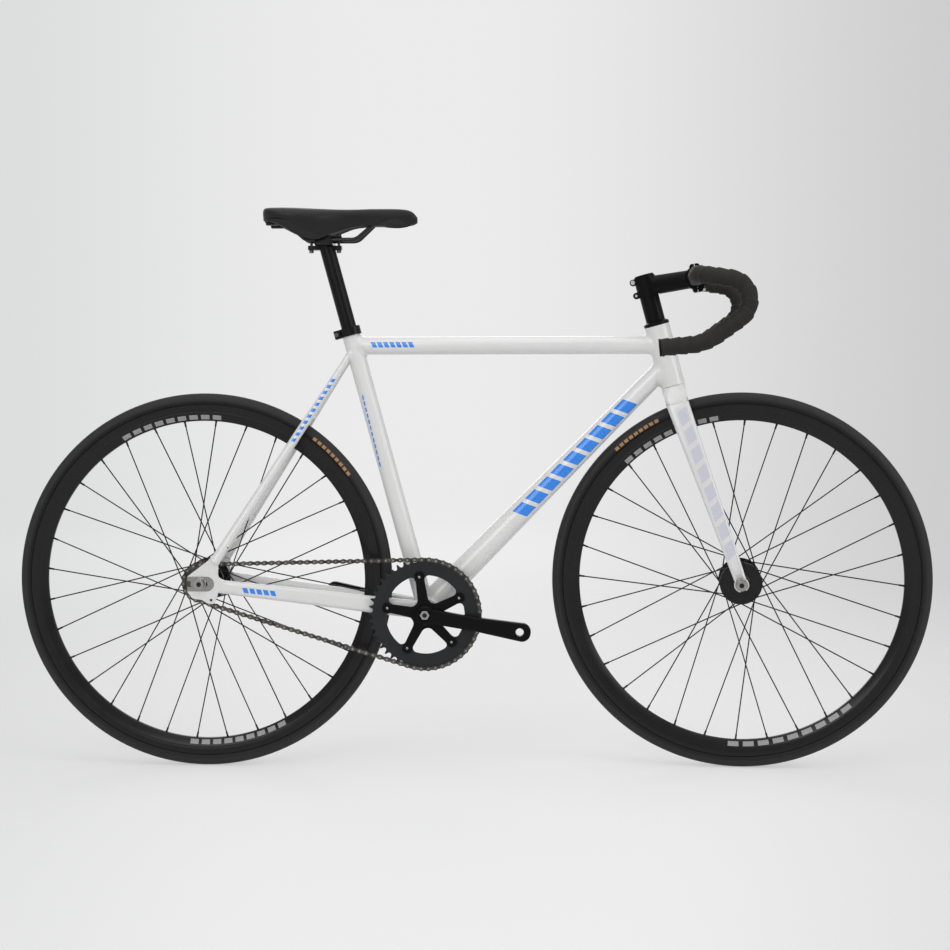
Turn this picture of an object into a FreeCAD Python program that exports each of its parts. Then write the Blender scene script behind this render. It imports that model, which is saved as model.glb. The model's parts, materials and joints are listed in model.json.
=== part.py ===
import FreeCAD
import Part
import math
import os
from FreeCAD import Placement, Rotation, Vector

# A fixed gear bicycle: a welded frame of mitred tubes with rear-facing track ends, a straight-bladed fork,
# taped drop bars, spoked wheels and a single-speed chain drive without a freewheel.
# Millimetres and degrees: +X forward, +Y to the left, +Z up. The origin is on the ground, midway between the
# axles, in the frame's centre plane. The chain is on the right, the -Y side.

# Layout. The clearances are those of the tyre: behind the bottom bracket, under the down tube, under the
# fork's crown and under the stays' bridges.
RIM_SEAT_RADIUS = 309.0
TYRE_HEIGHT = 27.0
BOTTOM_BRACKET_DROP = 55.4
CHAINSTAY_CLEARANCE = 65.2
DOWN_TUBE_CLEARANCE = 4.948
CROWN_CLEARANCE = 31.0
BRIDGE_CLEARANCE = 10.0
SEAT_TUBE_ANGLE = 74.9
HEAD_TUBE_ANGLE = 75.0
FORK_RAKE = 27.0
STEER_ANGLE = -4.5

# Frame tubes. The drop is from the head tube's top to the top tube, the spacing from there to the down tube.
TUBE_WALL = 1.8
HEAD_TUBE_RADIUS = 22.0
TOP_TUBE_DROP = 35.45
TOP_TUBE_RADIUS = 15.9
TUBE_SPACING = 34.55
SEAT_TUBE_EXTENSION = 33.6
SEAT_TUBE_RADIUS = 15.9
SEAT_SLOT_DEPTH = 32.0
SEAT_SLOT_WIDTH = 2.0
DOWN_TUBE_HEAD_RADIUS = 16.3
DOWN_TUBE_FOOT_RADIUS = 24.0
DOWN_TUBE_FOOT_RISE = 6.0
DOWN_TUBE_HEAD_RISE = 40.0
SHELL_RADIUS = 25.5
SHELL_HALF_WIDTH = 34.0
CHAINSTAY_HEIGHT = 27.0
CHAINSTAY_WIDTH = 16.0
CHAINSTAY_FOOT_OFFSET = 20.0
CHAINSTAY_FOOT_RISE = 2.0
SEATSTAY_RADIUS = 8.0
SEATSTAY_TOP_OFFSET = 7.5
SEATSTAY_TOP_DROP = 50.0
SEATSTAY_FOOT_REACH = 26.0
SEATSTAY_FOOT_RISE = 38.0
CHAINSTAY_REAR_REACH = 36.0
STAY_PLUG = 22.0
BRIDGE_RADIUS = 6.0
CUP_WALL = 8.7
CUP_DEPTH = 18.0
CUP_LIP = 4.0
CUP_LIP_HEIGHT = 3.0

# Track ends and rear axle. The outline's corners are x and z from the axle, each with its round.
TRACK_END_OUTLINE = (
    (-22.0, 13.0, 3.0),
    (15.0, 41.0, 6.0),
    (37.0, 65.0, 3.0),
    (46.0, 59.0, 3.0),
    (33.0, 37.0, 5.0),
    (32.0, 11.0, 10.0),
    (62.0, -3.0, 2.0),
    (62.0, -14.0, 2.0),
    (34.0, -11.0, 5.0),
    (29.0, -26.0, 4.0),
    (25.0, -36.0, 5.0),
    (13.0, -34.0, 6.0),
    (4.0, -28.0, 9.0),
    (-13.0, -26.0, 9.0),
    (-22.0, -13.0, 3.0),
)
TRACK_END_THICKNESS = 7.0
TRACK_SLOT_LENGTH = 14.0
TRACK_FACING_DEPTH = 0.5
TRACK_FACING_RADIUS = 13.3
TRACK_FACING_REACH = 26.0
EYELET_REACH = 20.0
EYELET_DROP = 28.5
EYELET_RADIUS = 2.5
REAR_AXLE_RADIUS = 5.0
AXLE_SLOT_CLEARANCE = 0.2
AXLE_THREAD_RADIUS = 3.0
AXLE_THREAD_DEPTH = 24.0

# Fits
RUNNING_CLEARANCE = 0.05
SHANK_CLEARANCE = 0.1
MOVING_GAP = 0.5

# Headset and fork
STEERER_RADIUS = 14.3
STEERER_WALL = 2.2
BEARING_SEAT_DEPTH = 8.0
BEARING_HEIGHT = 7.0
HEAD_BEARING_RADIUS = 20.5
CROWN_RACE_RADIUS = 15.0
HEADSET_COVER_RADIUS = 22.6
HEADSET_COVER_HEIGHT = 8.0
SPACER_RADIUS = 17.0
SPACER_HEIGHTS = (20.0, 15.0, 11.0)
CROWN_SHOULDER = 17.0
CROWN_LEG = 15.0
BLADE_TOP_LENGTH = 40.0
BLADE_TOP_WIDTH = 14.0
BLADE_TIP_LENGTH = 21.0
BLADE_TIP_WIDTH = 9.0
BLADE_TOP_OFFSET = 31.0
FORK_TIP_RADIUS = 13.0
FORK_TIP_THICKNESS = 7.0
FRONT_AXLE_RADIUS = 4.5

# Stem and handlebar
STEM_LENGTH = 88.0
STEM_DROP_ANGLE = 6.0
STEM_CLAMP_HEIGHT = 35.0
STEM_CLAMP_RADIUS = 19.0
STEM_EXTENSION_RADIUS = 17.4
BAR_CLAMP_RADIUS = 15.9
BAR_CLAMP_WALL = 4.6
BAR_CLAMP_WIDTH = 42.0
FACEPLATE_GAP = 1.5
FACEPLATE_LUG_REACH = 25.0
FACEPLATE_BOLT_OFFSET = 14.0
FACEPLATE_LUG_BEVEL = 3.0
FACEPLATE_LUG_DEPTH = 9.0
STEM_LUG_HALF_WIDTH = 11.0
STEM_EAR_RADIUS = 5.6
STEM_BOLT_RADIUS = 2.5
STEM_BOLT_HEAD_RADIUS = 4.2
STEM_BOLT_HEAD_HEIGHT = 4.0
STEM_SLOT_WIDTH = 1.6
BAR_RADIUS = 11.9
BAR_HALF_WIDTH = 205.0
BAR_BEND_RADIUS = 45.0
BAR_REACH = 84.0
BAR_RAMP_FALL = 13.0
BAR_HOOK_TOP_RADIUS = 36.0
BAR_HOOK_DEPTH = 64.0
BAR_HOOK_RADIUS = 38.0
BAR_HEEL_REACH = 12.0
BAR_HEEL_DEPTH = 115.5
BAR_HEEL_RADIUS = 90.0
BAR_TAIL_LENGTH = 60.0
BAR_TAIL_DEPTH = 122.0
BAR_BULGE_HALF_WIDTH = 26.0
BAR_TAPER_END = 70.0
TAPE_THICKNESS = 3.7
TAPE_START = 75.0
TOP_CAP_HEIGHT = 3.5

# Seatpost and saddle
SEATPOST_RADIUS = 13.6
SEATPOST_WALL = 2.1
SEATPOST_INSERTION = 150.0
SADDLE_RISE = 154.55
RAIL_RADIUS = 3.5
RAIL_OFFSET = 22.0
RAIL_FRONT_BEND = 57.0
RAIL_REAR_BEND = 46.0
RAIL_FRONT_ROUND = 20.0
RAIL_REAR_ROUND = 24.0
RAIL_NOSE_REACH = 95.0
RAIL_NOSE_OFFSET = 9.0
RAIL_NOSE_RISE = 34.0
RAIL_TAIL_REACH = 92.0
RAIL_TAIL_SPREAD = 8.0
RAIL_TAIL_RISE = 32.0
CLAMP_GAP = 0.6
CLAMP_BOLT_OFFSET = 24.5
CLAMP_BOLT_RADIUS = 2.5
CLAMP_TOP = 7.5
CRADLE_BOTTOM = -9.5
HEAD_BLOCK_BOTTOM = -17.0
SEAT_COLLAR_HEIGHT = 15.0
SEAT_COLLAR_WALL = 3.4
COLLAR_EAR_HALF_WIDTH = 9.0
COLLAR_EAR_REACH = 9.0
COLLAR_BOLT_RADIUS = 2.5
SADDLE_SIDE_WALL = 4.0
SADDLE_PADDING = 16.0
SADDLE_SHELL_WALL = 3.0
SOCKET_DEPTH = 14.0
SOCKET_WALL = 6.0

# The saddle's stations, measured from the seatpost's centre on the rails: place along X, half width at the
# shoulder, height of the crown and height of the skirt's edge.
SADDLE_STATIONS = (
    (-109.0, 34.0, 50.0, 34.0),
    (-90.0, 61.0, 57.0, 28.0),
    (-50.0, 68.0, 58.0, 10.0),
    (-12.0, 55.0, 56.0, -1.0),
    (30.0, 32.0, 54.0, 19.0),
    (95.0, 22.0, 55.0, 25.5),
    (148.0, 18.0, 53.0, 25.5),
    (165.0, 10.0, 38.0, 27.0),
)

# Wheels
TYRE_WIDTH = 25.0
TYRE_WALL = 3.0
RIM_BED_DEPTH = 22.5
RIM_EDGE_HEIGHT = 7.0
RIM_KNEE_HEIGHT = 14.0
RIM_WALL = 2.5
RIM_HALF_WIDTH = 11.0
RIM_BED_HALF_WIDTH = 4.0
RIM_HOOK = 2.4
SPOKE_RADIUS = 1.0
SPOKE_SIDES = 6
SPOKES_PER_SIDE = 16
SPOKE_CROSSES = 3
SPOKE_HOLE_RADIUS = 33.5
SPOKE_STAGGER = 1.8
SPOKE_RIM_OFFSET = 1.5
REAR_SPOKE_PHASE = 7.2
FRONT_SPOKE_PHASE = 10.0
FLANGE_RADIUS = 37.5
FLANGE_OFFSET = 33.0
FLANGE_HALF_THICKNESS = 2.9
HUB_BARREL_RADIUS = 14.0
HUB_BEARING_RADIUS = 11.0
HUB_BEARING_WIDTH = 8.0
AXLE_SHOULDER_RADIUS = 8.5
AXLE_BOLT_RADIUS = 9.0
AXLE_FLANGE_RADIUS = 10.5
AXLE_BOLT_HEIGHT = 9.0
AXLE_SOCKET = 8.0
AXLE_SOCKET_DEPTH = 5.0
FRONT_HUB_NOSE = 7.1
FRONT_HUB_INSET = 7.0
REAR_HUB_NOSE = 0.5
REAR_HUB_INSET = 8.0
BOLT_SIDES = 6

# Drive
CHAIN_PITCH = 12.7
COG_STANDOFF = 10.1
RING_TEETH = 48
COG_TEETH = 16
SPROCKET_THICKNESS = 3.0
ROLLER_RADIUS = 3.85
ROLLER_CLEARANCE = 0.25
TOOTH_HEIGHT = 3.4
TOOTH_TIP_WIDTH = 2.0
SEAT_SPREAD = 50.0
CHAIN_INNER_WIDTH = 3.6
PLATE_THICKNESS = 1.2
PLATE_HEIGHT = 8.2
CRANK_LENGTH = 170.0
CRANK_ANGLE = -9.9
CRANK_WIDTH = 25.0
CRANK_END_RADIUS = 17.0
CRANK_END_REACH = 19.5
CRANK_INNER_FACE = 53.0
CRANK_THICKNESS = 13.0
CRANK_FLARE_RADIUS = 150.0
CRANK_EDGE_BEVEL = 2.5
CRANK_BOLT_RADIUS = 4.0
CRANK_BOSS_RADIUS = 17.0
CRANK_BOSS_FACE = 39.0
PEDAL_HOLE_RADIUS = 7.14
SPINDLE_RADIUS = 8.5
SPINDLE_SQUARE = 11.9
SPINDLE_HALF_LENGTH = 57.0
SPIDER_ARMS = 5
BOLT_CIRCLE_RADIUS = 67.5
SPIDER_THICKNESS = 5.0
SPIDER_HUB_RADIUS = 24.0
SPIDER_ROOT_HALF_WIDTH = 9.9
SPIDER_TIP_HALF_WIDTH = 7.4
WINDOW_INNER_ROUND = 12.0
WINDOW_OUTER_ROUND = 8.0
WINDOW_CREST_RISE = 3.5
RING_INNER_RADIUS = 70.5
RING_BOLT_RADIUS = 4.0
LOCKRING_RADIUS = 20.5
LOCKRING_THICKNESS = 4.0
HUB_THREAD_RADIUS = 17.0

# Sizes worked out from those above
TYRE_RADIUS = RIM_SEAT_RADIUS + TYRE_HEIGHT
RIM_BED_RADIUS = RIM_SEAT_RADIUS - RIM_BED_DEPTH
RIM_EDGE_RADIUS = RIM_SEAT_RADIUS + RIM_EDGE_HEIGHT
CHAINSTAY_LENGTH = TYRE_RADIUS + CHAINSTAY_CLEARANCE
FORK_LENGTH = TYRE_RADIUS + CROWN_CLEARANCE
HEAD_TUBE_LENGTH = TOP_TUBE_DROP + TUBE_SPACING + DOWN_TUBE_HEAD_RISE
FLANGE_FACE = FLANGE_OFFSET + FLANGE_HALF_THICKNESS
CHAIN_LINE = FLANGE_FACE + COG_STANDOFF
COG_FACE = CHAIN_LINE - SPROCKET_THICKNESS / 2
SPIDER_FACE = CHAIN_LINE + SPROCKET_THICKNESS / 2
LOCKRING_FACE = SPIDER_FACE + LOCKRING_THICKNESS
FRONT_HUB_END = FLANGE_FACE + FRONT_HUB_NOSE
FRONT_HUB_WIDTH = 2 * (FRONT_HUB_END + FRONT_HUB_INSET)
REAR_HUB_END = LOCKRING_FACE + REAR_HUB_NOSE
REAR_HUB_WIDTH = 2 * (REAR_HUB_END + REAR_HUB_INSET)
CUP_RADIUS = SPINDLE_RADIUS + CUP_WALL
SPIDER_STEP = 360.0 / SPIDER_ARMS
CRANK_OUTER_FACE = CRANK_INNER_FACE + CRANK_THICKNESS

# Heights along the steering axis, from the level of the front axle
HEAD_BOTTOM = FORK_LENGTH + MOVING_GAP
HEAD_TOP = HEAD_BOTTOM + HEAD_TUBE_LENGTH
COVER_BOTTOM = HEAD_TOP + MOVING_GAP
SPACER_BOTTOM = COVER_BOTTOM + HEADSET_COVER_HEIGHT
STEM_BOTTOM = SPACER_BOTTOM + sum(SPACER_HEIGHTS)
STEM_TOP = STEM_BOTTOM + STEM_CLAMP_HEIGHT
STEM_MIDDLE = (STEM_BOTTOM + STEM_TOP) / 2
STEM_LUG_BOLT_HEIGHTS = (STEM_BOTTOM + STEM_EAR_RADIUS, STEM_TOP - STEM_EAR_RADIUS)

# Directions, and places along the ground
SIDEWAYS = Vector(0, 1, 0)
UPWARD = Vector(0, 0, 1)
HEAD_ROTATION = Rotation(SIDEWAYS, HEAD_TUBE_ANGLE - 90)
HEAD_UP = HEAD_ROTATION.multVec(UPWARD)
REAR_CENTRE = math.sqrt(CHAINSTAY_LENGTH**2 - BOTTOM_BRACKET_DROP**2)


def front_centre():
    """How far the front axle lies ahead of the bottom bracket, so that the tyre clears the down tube."""
    head_end = HEAD_ROTATION.multVec(Vector(-FORK_RAKE, 0, HEAD_BOTTOM + DOWN_TUBE_HEAD_RISE))
    foot_height = DOWN_TUBE_FOOT_RISE - BOTTOM_BRACKET_DROP
    distance = TYRE_RADIUS + DOWN_TUBE_CLEARANCE + DOWN_TUBE_FOOT_RADIUS
    to_axle = math.atan2(-head_end.z, -head_end.x)
    slope = to_axle - math.asin(distance / head_end.Length)
    return (head_end.z - foot_height) / math.tan(slope) - head_end.x


WHEELBASE = REAR_CENTRE + front_centre()
REAR_AXLE = Vector(-WHEELBASE / 2, 0, TYRE_RADIUS)
FRONT_AXLE = Vector(WHEELBASE / 2, 0, TYRE_RADIUS)
BOTTOM_BRACKET = REAR_AXLE + Vector(REAR_CENTRE, 0, -BOTTOM_BRACKET_DROP)
SEAT_FRAME = Placement(BOTTOM_BRACKET, Rotation(SIDEWAYS, SEAT_TUBE_ANGLE - 90))
SEAT_UP = SEAT_FRAME.Rotation.multVec(UPWARD)
HEAD_FOOT = FRONT_AXLE - HEAD_ROTATION.multVec(Vector(FORK_RAKE, 0, 0))
HEAD_FRAME = Placement(HEAD_FOOT, HEAD_ROTATION)
STEERED_FRAME = HEAD_FRAME.multiply(Placement(Vector(), Rotation(UPWARD, STEER_ANGLE)))
TOP_TUBE_HEIGHT = HEAD_FOOT.z + HEAD_UP.z * (HEAD_TOP - TOP_TUBE_DROP)
SEAT_TUBE_LENGTH = (TOP_TUBE_HEIGHT - BOTTOM_BRACKET.z) / SEAT_UP.z + SEAT_TUBE_EXTENSION
RAIL_HEIGHT = BOTTOM_BRACKET.z + SEAT_UP.z * SEAT_TUBE_LENGTH + SADDLE_RISE
POST_CENTRE = BOTTOM_BRACKET + SEAT_UP * ((RAIL_HEIGHT - BOTTOM_BRACKET.z) / SEAT_UP.z)

# Places in the seat tube's frame, the fork's frame and the bar clamp's frame
COLLAR_BOLT = Vector(
    -SEAT_TUBE_RADIUS - SEAT_COLLAR_WALL - COLLAR_EAR_REACH / 2, 0, SEAT_TUBE_LENGTH - SEAT_COLLAR_HEIGHT / 2
)
STEM_FRAME = Placement(Vector(0, 0, STEM_MIDDLE), Rotation(SIDEWAYS, STEM_DROP_ANGLE))
BAR_CENTRE = STEM_FRAME.multVec(Vector(STEM_LENGTH, 0, 0))
BAR_FRAME = Placement(BAR_CENTRE, STEM_FRAME.Rotation)
STEM_LUG_BOLT_X = -STEM_CLAMP_RADIUS - STEM_EAR_RADIUS / 2
FACEPLATE_BOLT_RISE = FACEPLATE_LUG_REACH - STEM_BOLT_HEAD_RADIUS


def placed(shape, frame):
    """A copy of the shape, carried from its own frame into the bicycle's."""
    copy = shape.copy()
    copy.Placement = frame.multiply(copy.Placement)
    return copy


def moved(shape, offset):
    return placed(shape, Placement(offset, Rotation()))


def at_angle(shape, degrees):
    """The shape turned about the Y axis, so that its +X side goes up towards +Z."""
    return placed(shape, Placement(Vector(), Rotation(SIDEWAYS, -degrees)))


def mirrored(shape):
    """The same piece for the bicycle's other side."""
    return shape.mirror(Vector(), SIDEWAYS)


def merged(shapes):
    return shapes[0].multiFuse(shapes[1:]).removeSplitter()


def polar(radius, degrees, y=0.0):
    angle = math.radians(degrees)
    return Vector(radius * math.cos(angle), y, radius * math.sin(angle))


def rod(start, end, radius):
    along = end - start
    return Part.makeCylinder(radius, along.Length, start, along)


def prism(start, end, radius, sides):
    """A straight rod with flat sides, whose corners lie at the radius."""
    along = end - start
    turn = Rotation(UPWARD, along)
    step = 2 * math.pi / sides
    corners = [
        start + turn.multVec(Vector(radius * math.cos(i * step), radius * math.sin(i * step), 0))
        for i in range(sides)
    ]
    face = Part.Face(Part.makePolygon(corners + corners[:1]))
    return face.extrude(along)


def lathe(profile):
    """A solid turned about the Y axis, from (radius, y) corners."""
    corners = [Vector(radius, y, 0) for radius, y in profile]
    face = Part.Face(Part.makePolygon(corners + corners[:1]))
    return face.revolve(Vector(), SIDEWAYS, 360)


def lathe_up(profile):
    """A solid turned about the Z axis, from (radius, z) corners."""
    corners = [Vector(radius, 0, z) for radius, z in profile]
    face = Part.Face(Part.makePolygon(corners + corners[:1]))
    return face.revolve(Vector(), UPWARD, 360)


def ring(inner, outer, low, high):
    """A plain ring about the Y axis."""
    return lathe([(inner, low), (outer, low), (outer, high), (inner, high)])


def ring_up(inner, outer, low, high):
    """A plain ring about the Z axis."""
    return lathe_up([(inner, low), (outer, low), (outer, high), (inner, high)])


def rounded_wire(corners, closed=True):
    """A wire of straight runs joined by tangent arcs. Each corner is a point and the radius of its round."""
    count = len(corners)
    entries, exits, arcs = [], [], []
    for index, (corner, radius) in enumerate(corners):
        if radius == 0 or (not closed and index in (0, count - 1)):
            entries.append(corner)
            exits.append(corner)
            arcs.append(None)
            continue
        back = (corners[index - 1][0] - corner).normalize()
        ahead = (corners[(index + 1) % count][0] - corner).normalize()
        half = back.getAngle(ahead) / 2
        inward = (back + ahead).normalize()
        reach = radius / math.tan(half)
        middle = corner + inward * (radius / math.sin(half) - radius)
        entries.append(corner + back * reach)
        exits.append(corner + ahead * reach)
        arcs.append(Part.Arc(entries[-1], middle, exits[-1]).toShape())
    edges = []
    for index in range(count):
        if arcs[index]:
            edges.append(arcs[index])
        follower = (index + 1) % count
        if follower == 0 and not closed:
            continue
        if (entries[follower] - exits[index]).Length > 1e-6:
            edges.append(Part.makeLine(exits[index], entries[follower]))
    return Part.Wire(edges)


def plate(corners, low, high):
    """A flat piece from low to high along Y. Each corner is x, z and the radius of its round."""
    outline = rounded_wire([(Vector(x, low, z), radius) for x, z, radius in corners])
    return Part.Face(outline).extrude(Vector(0, high - low, 0))


def rounded_section(middle, length, width, radius):
    """A level outline about a point: a rectangle, length along X and width along Y, with round corners."""
    half_length = length / 2
    half_width = width / 2
    offsets = [(-1, -1), (1, -1), (1, 1), (-1, 1)]
    return rounded_wire(
        [(middle + Vector(half_length * x, half_width * y, 0), radius) for x, y in offsets]
    )


def hex_socket(across_flats, low, high):
    """The cutter for a hexagon socket along Y."""
    return prism(Vector(0, low, 0), Vector(0, high, 0), across_flats / math.sqrt(3), 6)


def sweep(path, radius):
    """A round bar along a path of straight runs and arcs."""
    first = path.OrderedEdges[0]
    start = first.valueAt(first.FirstParameter)
    heading = first.tangentAt(first.FirstParameter)
    section = Part.Wire(Part.makeCircle(radius, start, heading))
    return path.makePipeShell([section], True, False)


# The frame's tubes: each is mitred against the whole outside of the tubes that it is welded to.


def seat_axis_point(distance, y=0.0):
    return BOTTOM_BRACKET + SEAT_UP * distance + Vector(0, y, 0)


def head_axis_point(distance):
    return HEAD_FOOT + HEAD_UP * distance


def seat_axis_at_height(height):
    return seat_axis_point((height - BOTTOM_BRACKET.z) / SEAT_UP.z)


def head_axis_at_height(height):
    return head_axis_point((height - HEAD_FOOT.z) / HEAD_UP.z)


def tapered(start, end, start_radius, end_radius):
    along = end - start
    if abs(start_radius - end_radius) < 1e-9:
        return rod(start, end, start_radius)
    return Part.makeCone(start_radius, end_radius, along.Length, start, along)


SHELL_OUTSIDE = rod(
    BOTTOM_BRACKET - SIDEWAYS * SHELL_HALF_WIDTH,
    BOTTOM_BRACKET + SIDEWAYS * SHELL_HALF_WIDTH,
    SHELL_RADIUS,
)
HEAD_OUTSIDE = rod(head_axis_point(HEAD_BOTTOM), head_axis_point(HEAD_TOP), HEAD_TUBE_RADIUS)
SEAT_OUTSIDE = rod(BOTTOM_BRACKET, seat_axis_point(SEAT_TUBE_LENGTH), SEAT_TUBE_RADIUS)


def head_tube():
    shoulder = HEAD_BEARING_RADIUS - 2.0
    bore = ring_up(0, shoulder, HEAD_BOTTOM, HEAD_TOP)
    low_seat = ring_up(0, HEAD_BEARING_RADIUS, HEAD_BOTTOM, HEAD_BOTTOM + BEARING_SEAT_DEPTH)
    high_seat = ring_up(0, HEAD_BEARING_RADIUS, HEAD_TOP - BEARING_SEAT_DEPTH, HEAD_TOP)
    inside = [placed(cutter, HEAD_FRAME) for cutter in (bore, low_seat, high_seat)]
    return HEAD_OUTSIDE.cut(inside)


def headset_bearings():
    bore = CROWN_RACE_RADIUS + RUNNING_CLEARANCE
    low = HEAD_BOTTOM + BEARING_SEAT_DEPTH - BEARING_HEIGHT
    high = HEAD_TOP - BEARING_SEAT_DEPTH
    rings = [ring_up(bore, HEAD_BEARING_RADIUS, z, z + BEARING_HEIGHT) for z in (low, high)]
    return Part.makeCompound([placed(bearing, HEAD_FRAME) for bearing in rings])


def seat_tube():
    bore = SEATPOST_RADIUS + RUNNING_CLEARANCE
    inside = rod(BOTTOM_BRACKET, seat_axis_point(SEAT_TUBE_LENGTH), bore)
    slot = Part.makeBox(
        2 * SEAT_TUBE_RADIUS,
        SEAT_SLOT_WIDTH,
        SEAT_SLOT_DEPTH,
        Vector(-2 * SEAT_TUBE_RADIUS, -SEAT_SLOT_WIDTH / 2, SEAT_TUBE_LENGTH - SEAT_SLOT_DEPTH),
    )
    return SEAT_OUTSIDE.cut([SHELL_OUTSIDE, inside, placed(slot, SEAT_FRAME)])


def top_tube():
    start = seat_axis_at_height(TOP_TUBE_HEIGHT)
    end = head_axis_at_height(TOP_TUBE_HEIGHT)
    inside = rod(start, end, TOP_TUBE_RADIUS - TUBE_WALL)
    return rod(start, end, TOP_TUBE_RADIUS).cut([inside, SEAT_OUTSIDE, HEAD_OUTSIDE])


def down_tube():
    start = BOTTOM_BRACKET + UPWARD * DOWN_TUBE_FOOT_RISE
    end = head_axis_point(HEAD_BOTTOM + DOWN_TUBE_HEAD_RISE)
    outside = tapered(start, end, DOWN_TUBE_FOOT_RADIUS, DOWN_TUBE_HEAD_RADIUS)
    inside = tapered(start, end, DOWN_TUBE_FOOT_RADIUS - TUBE_WALL, DOWN_TUBE_HEAD_RADIUS - TUBE_WALL)
    mitred = outside.cut([inside, SHELL_OUTSIDE, SEAT_OUTSIDE, HEAD_OUTSIDE])
    return max(mitred.Solids, key=lambda solid: solid.Volume)


def bottom_bracket_shell():
    half = SIDEWAYS * SHELL_HALF_WIDTH
    return SHELL_OUTSIDE.cut(rod(BOTTOM_BRACKET - half, BOTTOM_BRACKET + half, CUP_RADIUS))


def bottom_bracket_cups():
    """The two bearing cups, screwed into the shell from its ends, each with a lip outside it."""
    bore = SPINDLE_RADIUS + RUNNING_CLEARANCE
    lip_radius = CUP_RADIUS + CUP_LIP
    cup = lathe(
        [
            (bore, SHELL_HALF_WIDTH - CUP_DEPTH),
            (CUP_RADIUS, SHELL_HALF_WIDTH - CUP_DEPTH),
            (CUP_RADIUS, SHELL_HALF_WIDTH),
            (lip_radius, SHELL_HALF_WIDTH),
            (lip_radius, SHELL_HALF_WIDTH + CUP_LIP_HEIGHT),
            (bore, SHELL_HALF_WIDTH + CUP_LIP_HEIGHT),
        ]
    )
    return Part.makeCompound([moved(half, BOTTOM_BRACKET) for half in (cup, mirrored(cup))])


def stay_plane():
    """How far from the centre plane the stays meet the track ends."""
    return (REAR_HUB_WIDTH + TRACK_END_THICKNESS) / 2


CHAINSTAY_FOOT = BOTTOM_BRACKET + Vector(0, CHAINSTAY_FOOT_OFFSET, CHAINSTAY_FOOT_RISE)
CHAINSTAY_SPAN = REAR_AXLE + SIDEWAYS * stay_plane() - CHAINSTAY_FOOT


def stadium(height, width):
    """An upright outline with round ends, about the X axis."""
    radius = width / 2
    low = Vector(0, 0, radius - height / 2)
    high = Vector(0, 0, height / 2 - radius)
    side = SIDEWAYS * radius
    return Part.Wire(
        [
            Part.makeLine(low + side, high + side),
            Part.Arc(high + side, high + UPWARD * radius, high - side).toShape(),
            Part.makeLine(high - side, low - side),
            Part.Arc(low - side, low - UPWARD * radius, low + side).toShape(),
        ]
    )


def chainstay_solid(inset, rear_reach):
    """A left chainstay, its faces brought in by inset, up to rear_reach ahead of the axle."""
    length = CHAINSTAY_SPAN.Length * (1 - rear_reach / (BOTTOM_BRACKET.x - REAR_AXLE.x))
    outline = stadium(CHAINSTAY_HEIGHT - 2 * inset, CHAINSTAY_WIDTH - 2 * inset)
    bar = Part.Face(outline).extrude(Vector(-length, 0, 0))
    return placed(bar, Placement(CHAINSTAY_FOOT, Rotation(Vector(-1, 0, 0), CHAINSTAY_SPAN)))


CHAINSTAY_OUTSIDE = chainstay_solid(0, CHAINSTAY_REAR_REACH)
STAY_FOOT = REAR_AXLE + Vector(SEATSTAY_FOOT_REACH, stay_plane(), SEATSTAY_FOOT_RISE)
STAY_TOP = seat_axis_point(SEAT_TUBE_LENGTH - SEATSTAY_TOP_DROP, SEATSTAY_TOP_OFFSET)
SEATSTAY_OUTSIDE = rod(STAY_FOOT, STAY_TOP, SEATSTAY_RADIUS)


def left_chainstay():
    inside = chainstay_solid(TUBE_WALL, CHAINSTAY_REAR_REACH + STAY_PLUG)
    mitred = CHAINSTAY_OUTSIDE.cut([inside, SHELL_OUTSIDE, SEAT_OUTSIDE, left_track_end()])
    return max(mitred.Solids, key=lambda solid: solid.Volume)


def left_seatstay():
    along = (STAY_TOP - STAY_FOOT).normalize()
    inside = rod(STAY_FOOT + along * STAY_PLUG, STAY_TOP, SEATSTAY_RADIUS - TUBE_WALL)
    mitred = SEATSTAY_OUTSIDE.cut([inside, SEAT_OUTSIDE, left_track_end()])
    return max(mitred.Solids, key=lambda solid: solid.Volume)


def stay_bridges():
    """The cross tubes that tie the two seatstays and the two chainstays together, just clear of the tyre."""
    distance = TYRE_RADIUS + BRIDGE_CLEARANCE + BRIDGE_RADIUS
    foot_distance = math.hypot(STAY_FOOT.x - REAR_AXLE.x, STAY_FOOT.z - REAR_AXLE.z)
    top_distance = math.hypot(STAY_TOP.x - REAR_AXLE.x, STAY_TOP.z - REAR_AXLE.z)
    share = (distance - foot_distance) / (top_distance - foot_distance)
    seat_end = STAY_FOOT + (STAY_TOP - STAY_FOOT) * share
    seat_bridge = rod(seat_end, Vector(seat_end.x, -seat_end.y, seat_end.z), BRIDGE_RADIUS)
    chain_end = CHAINSTAY_FOOT + CHAINSTAY_SPAN * (1 - distance / CHAINSTAY_LENGTH)
    chain_bridge = rod(chain_end, Vector(chain_end.x, -chain_end.y, chain_end.z), BRIDGE_RADIUS)
    return Part.makeCompound(
        [
            seat_bridge.cut([SEATSTAY_OUTSIDE, mirrored(SEATSTAY_OUTSIDE)]),
            chain_bridge.cut([CHAINSTAY_OUTSIDE, mirrored(CHAINSTAY_OUTSIDE)]),
        ]
    )


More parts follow.
